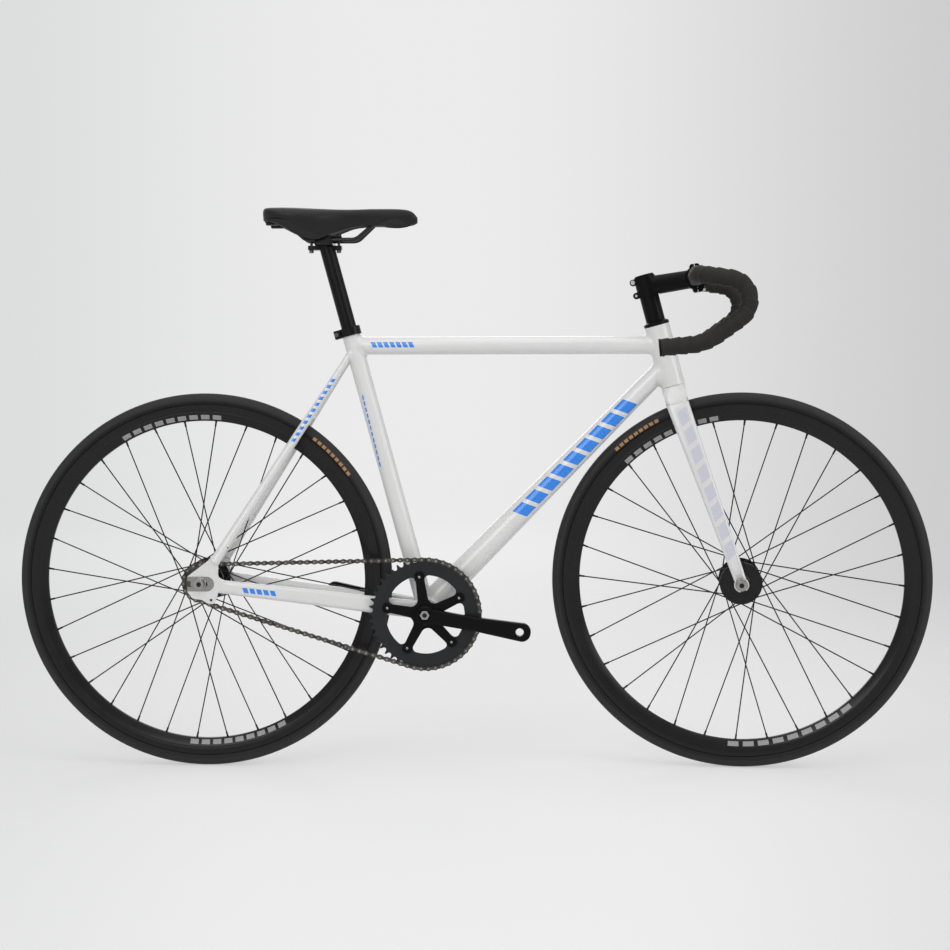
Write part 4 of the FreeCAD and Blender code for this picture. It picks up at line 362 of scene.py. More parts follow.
def bright_metal(name, colour, roughness, dirt=0.15):
    """Plated or ground steel with faint streaks and a little grime."""
    paint = Paint(name, Metallic=1.0)
    cloud = paint.noise(paint.place(), 140.0, 4.0)
    streak = paint.noise(paint.place(None, (0.3, 0.01, 0.3)), 16.0, 2.0)
    shades = (tint(colour, 1.0 - dirt), tint(colour, 1.05))
    return mottled(paint, cloud, shades, roughness - 0.05, 0.14, streak, 0.01, 0.3)


def tyre_rubber(name, matrix, arcs):
    """Black rubber: a tread with fine diamond siping, a ribbed sidewall and a small print; the sidewall is painted
    darker (painted shade) and the tread lighter (painted light).
    """
    paint = Paint(name, Specular_IOR_Level=0.25)
    x, y, z = paint.parts(paint.place(matrix))
    radius = length_of(x, z)
    turn = z.math("ARCTAN2", x)
    out = abs(y)
    tread = radius.ramp(324.0 * MM, 326.5 * MM)
    siping = (turn * 900.0 + out * 2600.0).math("SINE") * (turn * 900.0 - out * 2600.0).math("SINE")
    ribs = (radius * 5200.0).math("SINE")
    grime = paint.noise(paint.place(), 60.0, 4.0)
    speck = paint.noise(paint.place(), 1500.0, 2.0)
    clouded_tone = paint.blend(grime, (0.017, 0.017, 0.0175), (0.03, 0.0297, 0.0293))
    # Painted shade and painted light: the sidewall is much darker than the tread, and the tread lighter. The
    # clouds in the tread's own tone are dirt.
    base = paint.blend(radius.ramp(319.0 * MM, 327.0 * MM), (0.0055, 0.0055, 0.0057), clouded_tone)
    base = paint.blend(wheel_blocks(x, z, TYRE_PRINT, arcs), base, (0.36, 0.21, 0.1))
    height = siping * tread * 0.5 + ribs * (1.0 - tread) * 0.35 + speck * 0.6
    return paint.finish(
        Base_Color=base,
        Roughness=0.46 + grime * 0.16 + tread * 0.08,
        Normal=paint.bump(height, 0.06 * MM, 0.5),
    )


def wrap_tape(name):
    """Soft foam tape with tiny pores and a little shine where hands rub it."""
    paint = Paint(name, Specular_IOR_Level=0.2)
    where = paint.place()
    pores = paint.cells(where, 1500.0).ramp(0.0, 0.45)
    rub = paint.noise(where, 45.0, 3.0)
    shades = ((0.013, 0.0122, 0.0112), (0.027, 0.0255, 0.0235))
    return mottled(paint, rub, shades, 0.55, 0.2, pores, 0.09, 0.6)


def grained_leather(name):
    """Black synthetic leather: a pebbled grain, creased a little, with soft sheen."""
    paint = Paint(name, Sheen_Weight=0.04, Specular_IOR_Level=0.3)
    where = paint.place()
    pebble = paint.cells(where, 1150.0, "SMOOTH_F1")
    crease = paint.noise(where, 85.0, 5.0)
    shades = ((0.0036, 0.0037, 0.0037), (0.0088, 0.0089, 0.0087))
    return mottled(paint, crease, shades, 0.36, 0.16, pebble + crease * 0.5, 0.1, 0.55)


def moulded(name, colour):
    """Moulded plastic with a spark-eroded texture."""
    paint = Paint(name, Specular_IOR_Level=0.25)
    where = paint.place()
    grain = paint.noise(where, 1800.0, 2.0)
    cloud = paint.noise(where, 40.0, 2.0)
    shades = (tint(colour, 0.85), tint(colour, 1.2))
    return mottled(paint, cloud, shades, 0.5, 0.08, grain, 0.03, 0.5)


def oiled_steel(name, level):
    """The chain's steel: warm grey-brown, shiny on its edges and dark with oil in patches."""
    paint = Paint(name, Metallic=1.0)
    where = paint.place()
    film = paint.noise(where, 260.0, 4.0)
    patch = paint.noise(where, 18.0, 3.0).ramp(0.35, 0.7)
    clouded_tone = paint.blend(film, tint((0.27, 0.25, 0.22), level), tint((0.46, 0.435, 0.395), level))
    return paint.finish(
        Base_Color=paint.blend(patch * 0.55, clouded_tone, tint((0.1, 0.09, 0.078), level)),
        Roughness=0.3 + film * 0.2,
        Normal=paint.bump(film, 0.02 * MM, 0.4),
    )


# Mesh helpers

NODE_BODIES = {
    node: body for body, nodes in frame["record"]["behaviour"]["bodies"].items() for node in nodes
}


def mesh_from(shape, name, sharp=35.0):
    """A plain mesh: doubled points merged, faces outward and smooth shading up to an angle."""
    bmesh.ops.remove_doubles(shape, verts=shape.verts, dist=1e-6)
    bmesh.ops.recalc_face_normals(shape, faces=shape.faces)
    mesh = bpy.data.meshes.new(name)
    shape.to_mesh(mesh)
    shape.free()
    mesh.shade_smooth()
    mesh.set_sharp_from_angle(angle=math.radians(sharp))
    return mesh


def joined(name, meshes, sharp=35.0):
    """Several meshes as one."""
    shape = bmesh.new()
    for mesh in meshes:
        shape.from_mesh(mesh)
        bpy.data.meshes.remove(mesh)
    return mesh_from(shape, name, sharp)


def add_object(name, data):
    """An object in the scene for a mesh, a lamp or a camera."""
    made = bpy.data.objects.new(name, data)
    bpy.context.scene.collection.objects.link(made)
    return made


def add_piece(name, mesh, material, body, nodes=()):
    """Puts a finished mesh in the scene, on its body, in place of the CAD nodes it stands for."""
    piece = add_object(name, mesh)
    mesh.materials.clear()
    mesh.materials.append(material)
    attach(piece, body)
    if nodes:
        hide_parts(*nodes)
    return piece


def smooth_nodes(material, bevel, *nodes):
    """CAD nodes' shapes as joined, smooth meshes, with edges broken by a bevel in millimetres."""
    for node in nodes:
        shape = bmesh.new()
        shape.from_mesh(frame["nodes"][node].data)
        bmesh.ops.remove_doubles(shape, verts=shape.verts, dist=0.01 * MM)
        if bevel:
            bmesh.ops.dissolve_limit(
                shape, angle_limit=math.radians(0.6), verts=shape.verts, edges=shape.edges
            )
        mesh = mesh_from(shape, node + "_mesh", 30.0)
        piece = add_piece(node + "_finish", mesh, material, NODE_BODIES[node], [node])
        if bevel:
            edges = piece.modifiers.new("Edges", "BEVEL")
            edges.width = bevel * MM
            edges.segments = 2
            edges.limit_method = "ANGLE"
            edges.angle_limit = math.radians(40.0)
            edges.harden_normals = True


def loft(name, rings, sharp=35.0, closed=False):
    """A skin over rings of points, joined end to end if it is closed and otherwise capped."""
    count = len(rings[0])
    shape = bmesh.new()
    rows = [[shape.verts.new(point) for point in ring] for ring in rings]
    for here, there in zip(rows, rows[1:] + rows[:1] if closed else rows[1:]):
        for index in range(count):
            after = (index + 1) % count
            shape.faces.new((here[index], here[after], there[after], there[index]))
    if not closed:
        shape.faces.new(rows[0])
        shape.faces.new(rows[-1])
    return mesh_from(shape, name, sharp)


def slab(outline, low, high):
    """A flat plate with an (x, z) outline in millimetres, between two depths along Y."""
    return loft("slab", [[Vector((x, depth, z)) * MM for x, z in outline] for depth in (low, high)])


def turned(name, profile, steps, matrix=ORIGIN, sharp=35.0):
    """A closed (radius, along) outline in millimetres, turned about a matrix's Y axis."""
    rings = []
    for step in range(steps):
        angle = 2 * math.pi * step / steps
        way = Vector((math.cos(angle), 0, math.sin(angle)))
        rings.append([matrix @ ((way * radius + LEFT * along) * MM) for radius, along in profile])
    return loft(name, rings, sharp, True)


def both_sides(half):
    """An outline of (radius, along) points and its mirror image, as one closed outline."""
    return half + [(radius, -along) for radius, along in reversed(half)]


def arc_points(centre, radius, start, end, steps):
    """Points of an arc in a plane, from a start angle to an end angle in degrees."""
    points = []
    for step in range(steps + 1):
        angle = math.radians(start + (end - start) * step / steps)
        points.append((centre[0] + radius * math.cos(angle), centre[1] + radius * math.sin(angle)))
    return points


def swept(name, points, radius_at, sides, sharp=50.0):
    """A round bar along points; radius_at gives the radius at a distance and a turn about the bar."""
    last = len(points) - 1
    ways = [(points[min(i + 1, last)] - points[max(i - 1, 0)]).normalized() for i in range(last + 1)]
    turns = [2 * math.pi * step / sides for step in range(sides)]
    side = ways[0].orthogonal().normalized()
    distance = 0.0
    rings = []
    for index, point in enumerate(points):
        if index:
            distance += (point - points[index - 1]).length
            side = ways[index - 1].rotation_difference(ways[index]) @ side
        other = ways[index].cross(side)
        rings.append([
            point + (side * math.cos(turn) + other * math.sin(turn)) * radius_at(distance, turn)
            for turn in turns
        ])
    return loft(name, rings, sharp)


def round_bar(name, points, radius, sides, sharp=50.0):
    return swept(name, points, lambda distance, turn: radius, sides, sharp)


def rounded_path(corners, step):
    """Points along straight runs and tangent arcs, about a step apart. Corners are points with a radius."""
    points = [corners[0][0].copy()]

    def run_to(goal):
        start = points[-1]
        count = max(1, round((goal - start).length / step))
        points.extend(start.lerp(goal, (i + 1) / count) for i in range(count))

    for index in range(1, len(corners) - 1):
        corner, radius = corners[index]
        back = (corners[index - 1][0] - corner).normalized()
        ahead = (corners[index + 1][0] - corner).normalized()
        half = back.angle(ahead) / 2
        reach = radius / math.tan(half)
        centre = corner + (back + ahead).normalized() * (radius / math.sin(half))
        entry = corner + back * reach
        leave = corner + ahead * reach
        run_to(entry)
        first = (entry - centre).normalized()
        sweep = math.pi - 2 * half
        second = first.cross(back).cross(first).normalized() * -1
        count = max(2, round(radius * sweep / step))
        for i in range(1, count + 1):
            angle = sweep * i / count
            points.append(centre + (first * math.cos(angle) + second * math.sin(angle)) * radius)
        points[-1] = leave
    run_to(corners[-1][0])
    return points


# Geometry Nodes for what repeats


def grow_node(tree, kind, **inputs):
    """Adds a node whose named inputs are linked to sockets or set to plain values."""
    made = tree.nodes.new(kind)
    for label, value in inputs.items():
        socket = made.inputs[label.replace("_", " ")]
        if isinstance(value, bpy.types.NodeSocket):
            tree.links.new(value, socket)
        else:
            socket.default_value = value
    return made


def new_tree(name, **inputs):
    """A geometry tree with a mesh in, a mesh out and named inputs."""
    tree = bpy.data.node_groups.new(name, "GeometryNodeTree")
    for label, kind in {"Geometry": "Geometry", **inputs, "Material": "Material"}.items():
        tree.interface.new_socket(label, in_out="INPUT", socket_type="NodeSocket" + kind)
    tree.interface.new_socket("Geometry", in_out="OUTPUT", socket_type="NodeSocketGeometry")
    return tree, tree.nodes.new("NodeGroupInput").outputs


def end_tree(tree, source, given):
    """Real geometry and its material at the end of a tree."""
    real = grow_node(tree, "GeometryNodeRealizeInstances", Geometry=source).outputs[0]
    coat = grow_node(tree, "GeometryNodeSetMaterial", Geometry=real, Material=given["Material"])
    grow_node(tree, "NodeGroupOutput", Geometry=coat.outputs[0])
    return tree


def repeat_tree():
    """Copies one shape to every point, turned by the points' own rotation."""
    tree, given = new_tree("Repeat a shape", Shape="Object")
    info = grow_node(tree, "GeometryNodeObjectInfo", Object=given["Shape"], As_Instance=True)
    turn = grow_node(tree, "GeometryNodeInputNamedAttribute", Name="turn")
    turn.data_type = "FLOAT_VECTOR"
    rotation = grow_node(tree, "FunctionNodeEulerToRotation", Euler=turn.outputs["Attribute"])
    copies = grow_node(
        tree, "GeometryNodeInstanceOnPoints", Points=given["Geometry"],
        Instance=info.outputs["Geometry"], Rotation=rotation.outputs[0],
    )
    return end_tree(tree, copies.outputs[0], given)


def wire_tree():
    """Turns every edge into a round wire."""
    tree, given = new_tree("Round wires", Radius="Float", Sides="Int")
    lines = grow_node(tree, "GeometryNodeMeshToCurve", Mesh=given["Geometry"])
    circle = grow_node(
        tree, "GeometryNodeCurvePrimitiveCircle", Resolution=given["Sides"], Radius=given["Radius"]
    )
    wire = grow_node(
        tree, "GeometryNodeCurveToMesh", Curve=lines.outputs[0],
        Profile_Curve=circle.outputs["Curve"], Fill_Caps=True,
    )
    smooth = grow_node(tree, "GeometryNodeSetShadeSmooth", Geometry=wire.outputs[0])
    return end_tree(tree, smooth.outputs[0], given)


TREES = {}


def grown(name, mesh, maker, values, sharp=35.0):
    """Runs a geometry tree on a mesh and returns the plain mesh that it makes."""
    if maker.__name__ not in TREES:
        TREES[maker.__name__] = maker()
    tree = TREES[maker.__name__]
    holder = add_object(name + "_seed", mesh)
    modifier = holder.modifiers.new("Grow", "NODES")
    modifier.node_group = tree
    for item in tree.interface.items_tree:
        if item.in_out == "INPUT" and item.name in values:
            modifier[item.identifier] = values[item.name]
    graph = bpy.context.evaluated_depsgraph_get()
    result = bpy.data.meshes.new_from_object(holder.evaluated_get(graph))
    bpy.data.objects.remove(holder)
    result.name = name
    result.set_sharp_from_angle(angle=math.radians(sharp))
    return result


def repeated(name, places, shape, material):
    """Copies of a shape's mesh at matrices, as one plain mesh."""
    points = bpy.data.meshes.new(name + "_points")
    points.from_pydata([place.translation for place in places], [], [])
    turns = points.attributes.new("turn", "FLOAT_VECTOR", "POINT")
    for index, place in enumerate(places):
        turns.data[index].vector = place.to_euler()
    model = add_object(name + "_shape", shape)
    mesh = grown(name, points, repeat_tree, {"Shape": model, "Material": material})
    bpy.data.objects.remove(model)
    return mesh


def add_copies(name, places, shape, material, body, nodes=()):
    """A piece made of copies of a shape at matrices."""
    add_piece(name, repeated(name, places, shape, material), material, body, nodes)


def wires(name, ends, radius, sides, material):
    """Round wires between pairs of points, as one plain mesh."""
    verts = [point for pair in ends for point in pair]
    edges = [(2 * i, 2 * i + 1) for i in range(len(ends))]
    lines = bpy.data.meshes.new(name + "_lines")
    lines.from_pydata(verts, edges, [])
    return grown(name, lines, wire_tree, {"Radius": radius, "Sides": sides, "Material": material}, 50.0)


def pointing(place, direction):
    """A matrix at a place whose local Y points along a direction."""
    matrix = LEFT.rotation_difference(direction).to_matrix().to_4x4()
    matrix.translation = place
    return matrix


def axle_pair(matrix, reach):
    """Two places on an axle at a distance from its middle, facing outward."""
    side = matrix.to_3x3() @ LEFT
    return [pointing(matrix @ (LEFT * way * reach), side * way) for way in (-1, 1)]


# Wheels

SPOKES_PER_SIDE = 16
SPOKE_CROSSES = 3
HUB_HOLE = 33.5
FLANGE = 33.0
FLANGE_HALF = 2.9
HUB_FLANGE = 37.5
SPOKE_GAP = 0.9
RIM_BED = 286.5
TYRE_MIDDLE = 323.5
TYRE_RADIUS = 12.45


def tyre_profile():
    """A round casing with a slightly raised tread, down to the rim's edges."""
    casing = []
    for radius, along in arc_points((TYRE_MIDDLE, 0.0), TYRE_RADIUS, 125.0, 0.0, 30):
        tread = max(0.0, min(1.0, (radius - 325.0) / 1.2))
        shrink = 1.0 - 0.022 * (1.0 - tread)
        casing.append((TYRE_MIDDLE + (radius - TYRE_MIDDLE) * shrink, along * shrink))
    return both_sides([(309.6, 8.4), (316.4, 8.4)] + casing[:-1])[::-1]


def rim_profile():
    """A box rim: rounded spoke bed, sloping flanks, straight sides with a groove, and hooked edges."""
    half = [
        (RIM_BED, 2.2),
        (RIM_BED + 0.5, 3.6),
        (RIM_BED + 2.0, 4.8),
        (299.0, 10.2),
        (300.4, 10.8),
        (302.0, 11.0),
        (302.4, 10.8),
        (302.9, 10.8),
        (303.3, 11.0),
        (315.2, 11.0),
        (316.0, 10.3),
        (316.0, 8.8),
        (309.0, 8.6),
    ]
    return both_sides(half)


def hub_half(end):
    """Half of a waisted hub shell with a tall flange, broken edges and a stepped end."""
    outer = FLANGE + FLANGE_HALF
    inner = FLANGE - FLANGE_HALF
    return [
        (0.0, end),
        (12.6, end),
        (13.4, end - 0.8),
        (14.0, outer + 2.0),
        (16.5, outer),
        (HUB_FLANGE - 0.7, outer),
        (HUB_FLANGE, outer - 0.7),
        (HUB_FLANGE, inner + 0.7),
        (HUB_FLANGE - 0.7, inner),
        (21.0, inner - 1.2),
        (16.5, FLANGE - 8.0),
        (14.3, FLANGE - 15.0),
        (13.8, 0.0),
    ]


def hub_profile(left_end, right_end):
    return hub_half(left_end) + [(radius, -along) for radius, along in reversed(hub_half(right_end)[:-1])]


def spoke_lines(phase, matrix):
    """The ends of a wheel's spokes, at the flange and at the rim, and the side of the flange they leave."""
    spacing = 360.0 / SPOKES_PER_SIDE
    lines = []
    for side in (-1, 1):
        start = phase if side < 0 else phase + spacing / 2
        for index in range(SPOKES_PER_SIDE):
            rim = math.radians(start + index * spacing)
            turn = 1 if index % 2 else -1
            hub = rim + turn * math.radians(SPOKE_CROSSES * spacing)
            face = side * (FLANGE + turn * (FLANGE_HALF + SPOKE_GAP))
            inner = Vector((HUB_HOLE * math.cos(hub), face, HUB_HOLE * math.sin(hub)))
            outer = Vector((RIM_BED * math.cos(rim), side * 1.5, RIM_BED * math.sin(rim)))
            lines.append((matrix @ (inner * MM), matrix @ (outer * MM), side * turn))
    return lines


def nipple_mesh(length):
    """A spoke nipple along local Y: a square key end, a round body and a foot in the rim."""
    end = length / MM
    profile = [(0.0, 0.0), (1.5, 0.0), (1.75, 0.4), (1.75, end * 0.7), (2.2, end)]
    profile += [(2.2, end + 2), (0.0, end + 2)]
    return turned("nipple", profile, 8)


def spoke_head_mesh():
    """A spoke's domed head on the flange's face, along local Y."""
    profile = [(0.0, -0.2), (1.9, -0.2), (1.9, 0.3), (1.3, 0.9), (0.0, 1.1)]
    return turned("spoke_head", profile, 10)


def build_wheel(name, matrix, phase, hub_ends, rim_arcs, tyre_arcs):
    """Tyre, rim, hub, spokes, spoke heads and nipples of one wheel."""
    sizes = bpy.context.scene.bicycle_wheels
    black = tuple(bpy.context.scene.bicycle_paint.black)
    rubber = tyre_rubber(name + "_rubber", matrix, tyre_arcs)
    rim_black = turned_alloy(name + "_rim_black", black, matrix, 0.2, rim_arcs)
    hub_black = turned_alloy(name + "_hub_black", black, matrix, 0.24)
    wire_black = bright_metal(name + "_wire_black", (0.03, 0.03, 0.031), 0.34)

    def add(piece, mesh, material, slot, *nodes):
        add_piece(name + piece, mesh, material, name + "_wheel", [name + node for node in nodes])

    tyre = turned(name + "_tyre_casing", tyre_profile(), sizes.segments, matrix, 40.0)
    add("_tyre_casing", tyre, rubber, "tyre", "_tyre")
    rim = turned(name + "_rim_box", rim_profile(), sizes.segments, matrix, 30.0)
    add("_rim_box", rim, rim_black, "black_alloy", "_rim")
    hub = turned(name + "_hub_shell", hub_profile(*hub_ends), 96, matrix, 30.0)
    add("_hub_shell", hub, hub_black, "black_alloy", "_hub")
    lines = spoke_lines(phase, matrix)
    ends = [(inner, outer) for inner, outer, _ in lines]
    spokes = wires(name + "_wheel_spokes", ends, sizes.spoke_radius, 8, wire_black)
    add("_wheel_spokes", spokes, wire_black, "black_steel", "_spokes")
    side = matrix.to_3x3() @ LEFT
    through_flange = (FLANGE_HALF * 2 + SPOKE_GAP) * MM
    heads = []
    nipples = []
    for inner, outer, way in lines:
        along = (outer - inner).normalized()
        heads.append(pointing(inner - side * way * through_flange, side * -way))
        nipples.append(pointing(outer - along * sizes.nipple_length, along))
    for piece, spots, shape in (
        ("_spoke_heads", heads, spoke_head_mesh()),
        ("_nipples", nipples, nipple_mesh(sizes.nipple_length)),
    ):
        add_copies(name + piece, spots, shape, wire_black, name + "_wheel")


class BICYCLE_OT_wheels(bpy.types.Operator):
    """Builds both wheels: tyres, rims, hubs, spokes and nipples"""

    bl_idname = "bicycle.wheels"
    bl_label = "Wheels"

    def execute(self, context):
        build_wheel("rear", REAR_FRAME, 7.2, (52.0, 44.4), ((84, 121), (264, 300)), ((36, 53),))
        build_wheel("front", FRONT_FRAME, 10.0, (43.0, 43.0), ((98, 135), (266, 313)), ((117, 134),))
        silver = bright_metal("bearing_silver", (0.58, 0.58, 0.59), 0.3)
        smooth_nodes(silver, 0, "rear_hub_bearings", "front_hub_bearings", "rear_axle", "front_axle")
        return {"FINISHED"}


# Frame

SEAT_TUBE_RADIUS = 15.9 * MM
HEAD_TUBE_RADIUS = 22.0 * MM
SHELL_RADIUS = 25.5 * MM
BRIDGE_RADIUS = 6.0 * MM
STAY_RADII = (9.2 * MM, 6.4 * MM)
STAY_PLANE = 63.5 * MM
CHAINSTAY_ROOT = Vector((0, 20, 3)) * MM
CHAINSTAY_HEIGHTS = (33.0, 24.0)
CHAINSTAY_EDGE = 8.0
CHAINSTAY_BOW = 3.6 * MM
DOWN_TUBE = (BOTTOM_BRACKET + Vector((0, 0, 6)) * MM, Vector((347.45, 0, 722.63)) * MM)
DOWN_TUBE_RADII = (24.0 * MM, 16.3 * MM)
SEATSTAY = (REAR_AXLE + Vector((26, -63.5, 38)) * MM, Vector((-210.0, -7.5, 750.0)) * MM)
JOINT_STEPS = 120
WELD_STEPS = 8
WELD_SINK = 0.2 * MM
VENT_SHARE = 0.079
VENT_REACH = 9.0 * MM


def on_line(line, share):
    return line[0].lerp(line[1], share)


def across(point):
    """A point's mirror image on the other side of the bicycle."""
    return Vector((point.x, -point.y, point.z))


def smooth_step(value, low, high):
    t = min(1.0, max(0.0, (value - low) / (high - low)))
    return t * t * (3.0 - 2.0 * t)


def square_to(vector, axis):
    """The part of a vector that is square to an axis."""
    return vector - axis * vector.dot(axis)


def top_tube_line():
    """The level top tube's axis and radius, from the box of its node."""
    low, high = (Vector(corner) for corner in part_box("top_tube"))
    height = (low.z + high.z) / 2
    return (Vector((low.x, 0, height)), Vector((high.x, 0, height))), (high.z - low.z) / 2


def round_tubes():
    """The tubes that run from joint to joint: their axes and their radii at both ends."""
    top, top_radius = top_tube_line()
    return {
        "top_tube": (top, (top_radius, top_radius)),
        "down_tube": (DOWN_TUBE, DOWN_TUBE_RADII),
        "right_seatstay": (SEATSTAY, STAY_RADII),
        "left_seatstay": (tuple(across(point) for point in SEATSTAY), STAY_RADII),
    }


def tube_mesh(line, radii):
    """A round tube, straight or tapered, that ends inside the tubes it is welded to."""
    length = (line[1] - line[0]).length

    def radius_at(distance, turn):
        return radii[0] + (radii[1] - radii[0]) * distance / length

    return swept("tube", list(line), radius_at, 96)


def joint_ring(line, radii, point, axis, radius):
    """Where a tube along a line first meets another round tube, with both tubes' outward directions."""
    start, end = line
    ahead = (end - start).normalized()
    side = ahead.cross(axis).normalized()
    other = ahead.cross(side)
    swell = (radii[1] - radii[0]) / (end - start).length
    ring = []
    for step in range(JOINT_STEPS):
        turn = 2 * math.pi * step / JOINT_STEPS
        out = side * math.cos(turn) + other * math.sin(turn)
        base = start + out * radii[0]
        way = ahead + out * swell
        offset = square_to(base - point, axis)
        slope = square_to(way, axis)
        a = slope.dot(slope)
        b = offset.dot(slope)
        c = offset.dot(offset) - radius * radius
        place = base + way * (-b - math.sqrt(max(b * b - a * c, 0.0))) / a
        ring.append((place, out, square_to(place - point, axis).normalized()))
    return ring


def fillet_mesh(line, radii, point, axis, radius, reach):
    """A hollow, filed weld round a joint, tangent to both tubes."""
    rings = []
    for place, first, second in joint_ring(line, radii, point, axis, radius):
        run = first.cross(second).normalized()
        on_first = run.cross(first)
        on_first *= math.copysign(reach, on_first.dot(second))
        on_second = run.cross(second)
        on_second *= math.copysign(reach, on_second.dot(first))
        start = place + on_first - first * WELD_SINK
        end = place + on_second
        away = square_to(end - point, axis)
        end += away.normalized() * (radius - WELD_SINK - away.length)
        shares = [step / WELD_STEPS for step in range(WELD_STEPS + 1)]
        ring = [start * (1 - t) ** 2 + place * 2 * t * (1 - t) + end * t * t for t in shares]
        rings.append(ring + [place - (first + second) * 2.0 * MM])
    return loft("fillet", rings, 60.0, True)


def weld_mesh():
    """Filed welds round the joints of the frame's tubes."""
    tubes = round_tubes()
    top, top_radii = tubes["top_tube"]
    seat_tube = (BOTTOM_BRACKET + SEAT_AXIS * 0.3, BOTTOM_BRACKET)
    joints = (
        ((on_line(top, 0.5), top[0]), top_radii, BOTTOM_BRACKET, SEAT_AXIS, SEAT_TUBE_RADIUS, 9.0 * MM),
        ((on_line(top, 0.5), top[1]), top_radii, STEER_POINT, STEER_AXIS, HEAD_TUBE_RADIUS, 9.0 * MM),
        (DOWN_TUBE, DOWN_TUBE_RADII, STEER_POINT, STEER_AXIS, HEAD_TUBE_RADIUS, 9.0 * MM),
        (DOWN_TUBE[::-1], DOWN_TUBE_RADII[::-1], BOTTOM_BRACKET, LEFT, SHELL_RADIUS, 7.0 * MM),
        (seat_tube, (SEAT_TUBE_RADIUS, SEAT_TUBE_RADIUS), BOTTOM_BRACKET, LEFT, SHELL_RADIUS, 7.0 * MM),
        (*tubes["right_seatstay"], BOTTOM_BRACKET, SEAT_AXIS, SEAT_TUBE_RADIUS, 5.0 * MM),
        (*tubes["left_seatstay"], BOTTOM_BRACKET, SEAT_AXIS, SEAT_TUBE_RADIUS, 5.0 * MM),
    )
    return joined("welds", [fillet_mesh(*joint) for joint in joints], 60.0)


def chainstay_mesh(side):
    """A flat-sided stay with rounded edges, taller at the bottom bracket than at the track end."""
    start = BOTTOM_BRACKET + (CHAINSTAY_ROOT if side > 0 else across(CHAINSTAY_ROOT))
    end = REAR_AXLE + LEFT * side * STAY_PLANE
    tall, low = CHAINSTAY_HEIGHTS
    rows = 61
    rings = []
    for row in range(rows):
        share = row / (rows - 1)
        middle = start.lerp(end, share * 0.93) + LEFT * side * CHAINSTAY_BOW * smooth_step(share, 0.5, 0.9)
        rise = (tall + (low - tall) * share) / 2 - CHAINSTAY_EDGE
        narrow = 1.0 - 0.6 * smooth_step(share, 0.9, 1.0)
        outline = arc_points((0.0, rise), CHAINSTAY_EDGE, 0.0, 180.0, 16)
        outline += arc_points((0.0, -rise), CHAINSTAY_EDGE, 180.0, 360.0, 16)
        rings.append([middle + Vector((0, y * narrow, z)) * MM for y, z in outline])
    return loft("chainstay", rings, 40.0)


def bridge_mesh():
    """The cross tubes between the seatstays and between the chainstays, just clear of the tyre."""
    root = BOTTOM_BRACKET + across(CHAINSTAY_ROOT)
    spots = (on_line(SEATSTAY, 0.6835), root.lerp(REAR_AXLE, 0.064))
    bars = [round_bar("bridge", [spot, across(spot)], BRIDGE_RADIUS, 40) for spot in spots]
    return joined("bridges", bars)


def printed_runs():
    """The runs of printed blocks along the tubes: two ends, height and count, in metres."""
    top, _ = top_tube_line()
    level = top[0].z + 1.5 * MM
    low = BOTTOM_BRACKET + SEAT_AXIS * 0.06
    stay = (REAR_AXLE + Vector((77, -63, -11)) * MM, REAR_AXLE + Vector((136, -55, -18)) * MM)
    return {
        "down_tube": [(on_line(DOWN_TUBE, 0.39), on_line(DOWN_TUBE, 0.86), 25.0 * MM, 9)],
        "top_tube": [(Vector((-0.177, 0, level)), Vector((-0.1, 0, level)), 9.5 * MM, 7)],
        "seat_tube": [
            (low, low + SEAT_AXIS * 0.016, 11.0 * MM, 2),
            (Vector((-0.194, 0, 0.668)), Vector((-0.162, 0, 0.538)), 2.6 * MM, 12),
        ],
        "right_seatstay": [(on_line(SEATSTAY, 0.565), on_line(SEATSTAY, 0.87), 6.5 * MM, 11, 0.55)],
        "right_chainstay": [(*stay, 9.0 * MM, 5)],
    }


FORK_RUN = (Vector((0.37, -0.05, 0.643)), Vector((0.462, -0.05, 0.376)), 18.0 * MM, 8)


class BICYCLE_OT_frame(bpy.types.Operator):
    """Paints the frame and fork, adds the welds and finishes their edges"""

    bl_idname = "bicycle.frame"
    bl_label = "Frame and fork"

    def execute(self, context):
        colours = context.scene.bicycle_paint
        colour = tuple(colours.frame_white)
        white = frame_paint("frame_white", colour)
        ends = frame_paint("track_end_white", colour, REAR_AXLE)
        paints = {
            node: frame_paint(node + "_white", colour, None, runs, tuple(colours.print_blue))
            for node, runs in printed_runs().items()
        }
        paints["right_fork_blade"] = frame_paint(
            "fork_blade_white", colour, None, [FORK_RUN], tuple(colours.print_pale)
        )

        def add(node, mesh):
            add_piece(node + "_finish", mesh, paints.get(node, white), "frame", [node])

        for node in (
            "head_tube", "seat_tube", "bottom_bracket_shell",
            "fork_steerer", "left_fork_blade", "right_fork_blade",
        ):
            smooth_nodes(paints.get(node, white), 0, node)
        for node, (line, radii) in round_tubes().items():
            add(node, tube_mesh(line, radii))
        add("left_chainstay", chainstay_mesh(1))
        add("right_chainstay", chainstay_mesh(-1))
        smooth_nodes(ends, 0.6, "left_track_end", "right_track_end")
        add_piece("weld_beads", weld_mesh(), white, "frame")
        add("stay_bridges", bridge_mesh())
        self.add_vents()
        return {"FINISHED"}

    def add_vents(self):
        """A small dark disc at the foot of each seatstay, on its front outer face: painted shade where a small
        vent hole is.
        """
        dark = moulded("vent_hole_painted_shade", (0.02, 0.02, 0.02))
        vent = turned("vent", [(0.0, -0.6), (1.5, -0.6), (1.5, 0.12), (0.0, 0.12)], 16)
        front = LEFT.cross(SEATSTAY[1] - SEATSTAY[0]).normalized()
        spot = on_line(SEATSTAY, VENT_SHARE)
        places = []
        for side, middle in ((-1, spot), (1, across(spot))):
            out = (LEFT * side + front).normalized()
            places.append(pointing(middle + out * VENT_REACH, out))
        add_copies("seatstay_vents", places, vent, dark, "frame")


# Drive

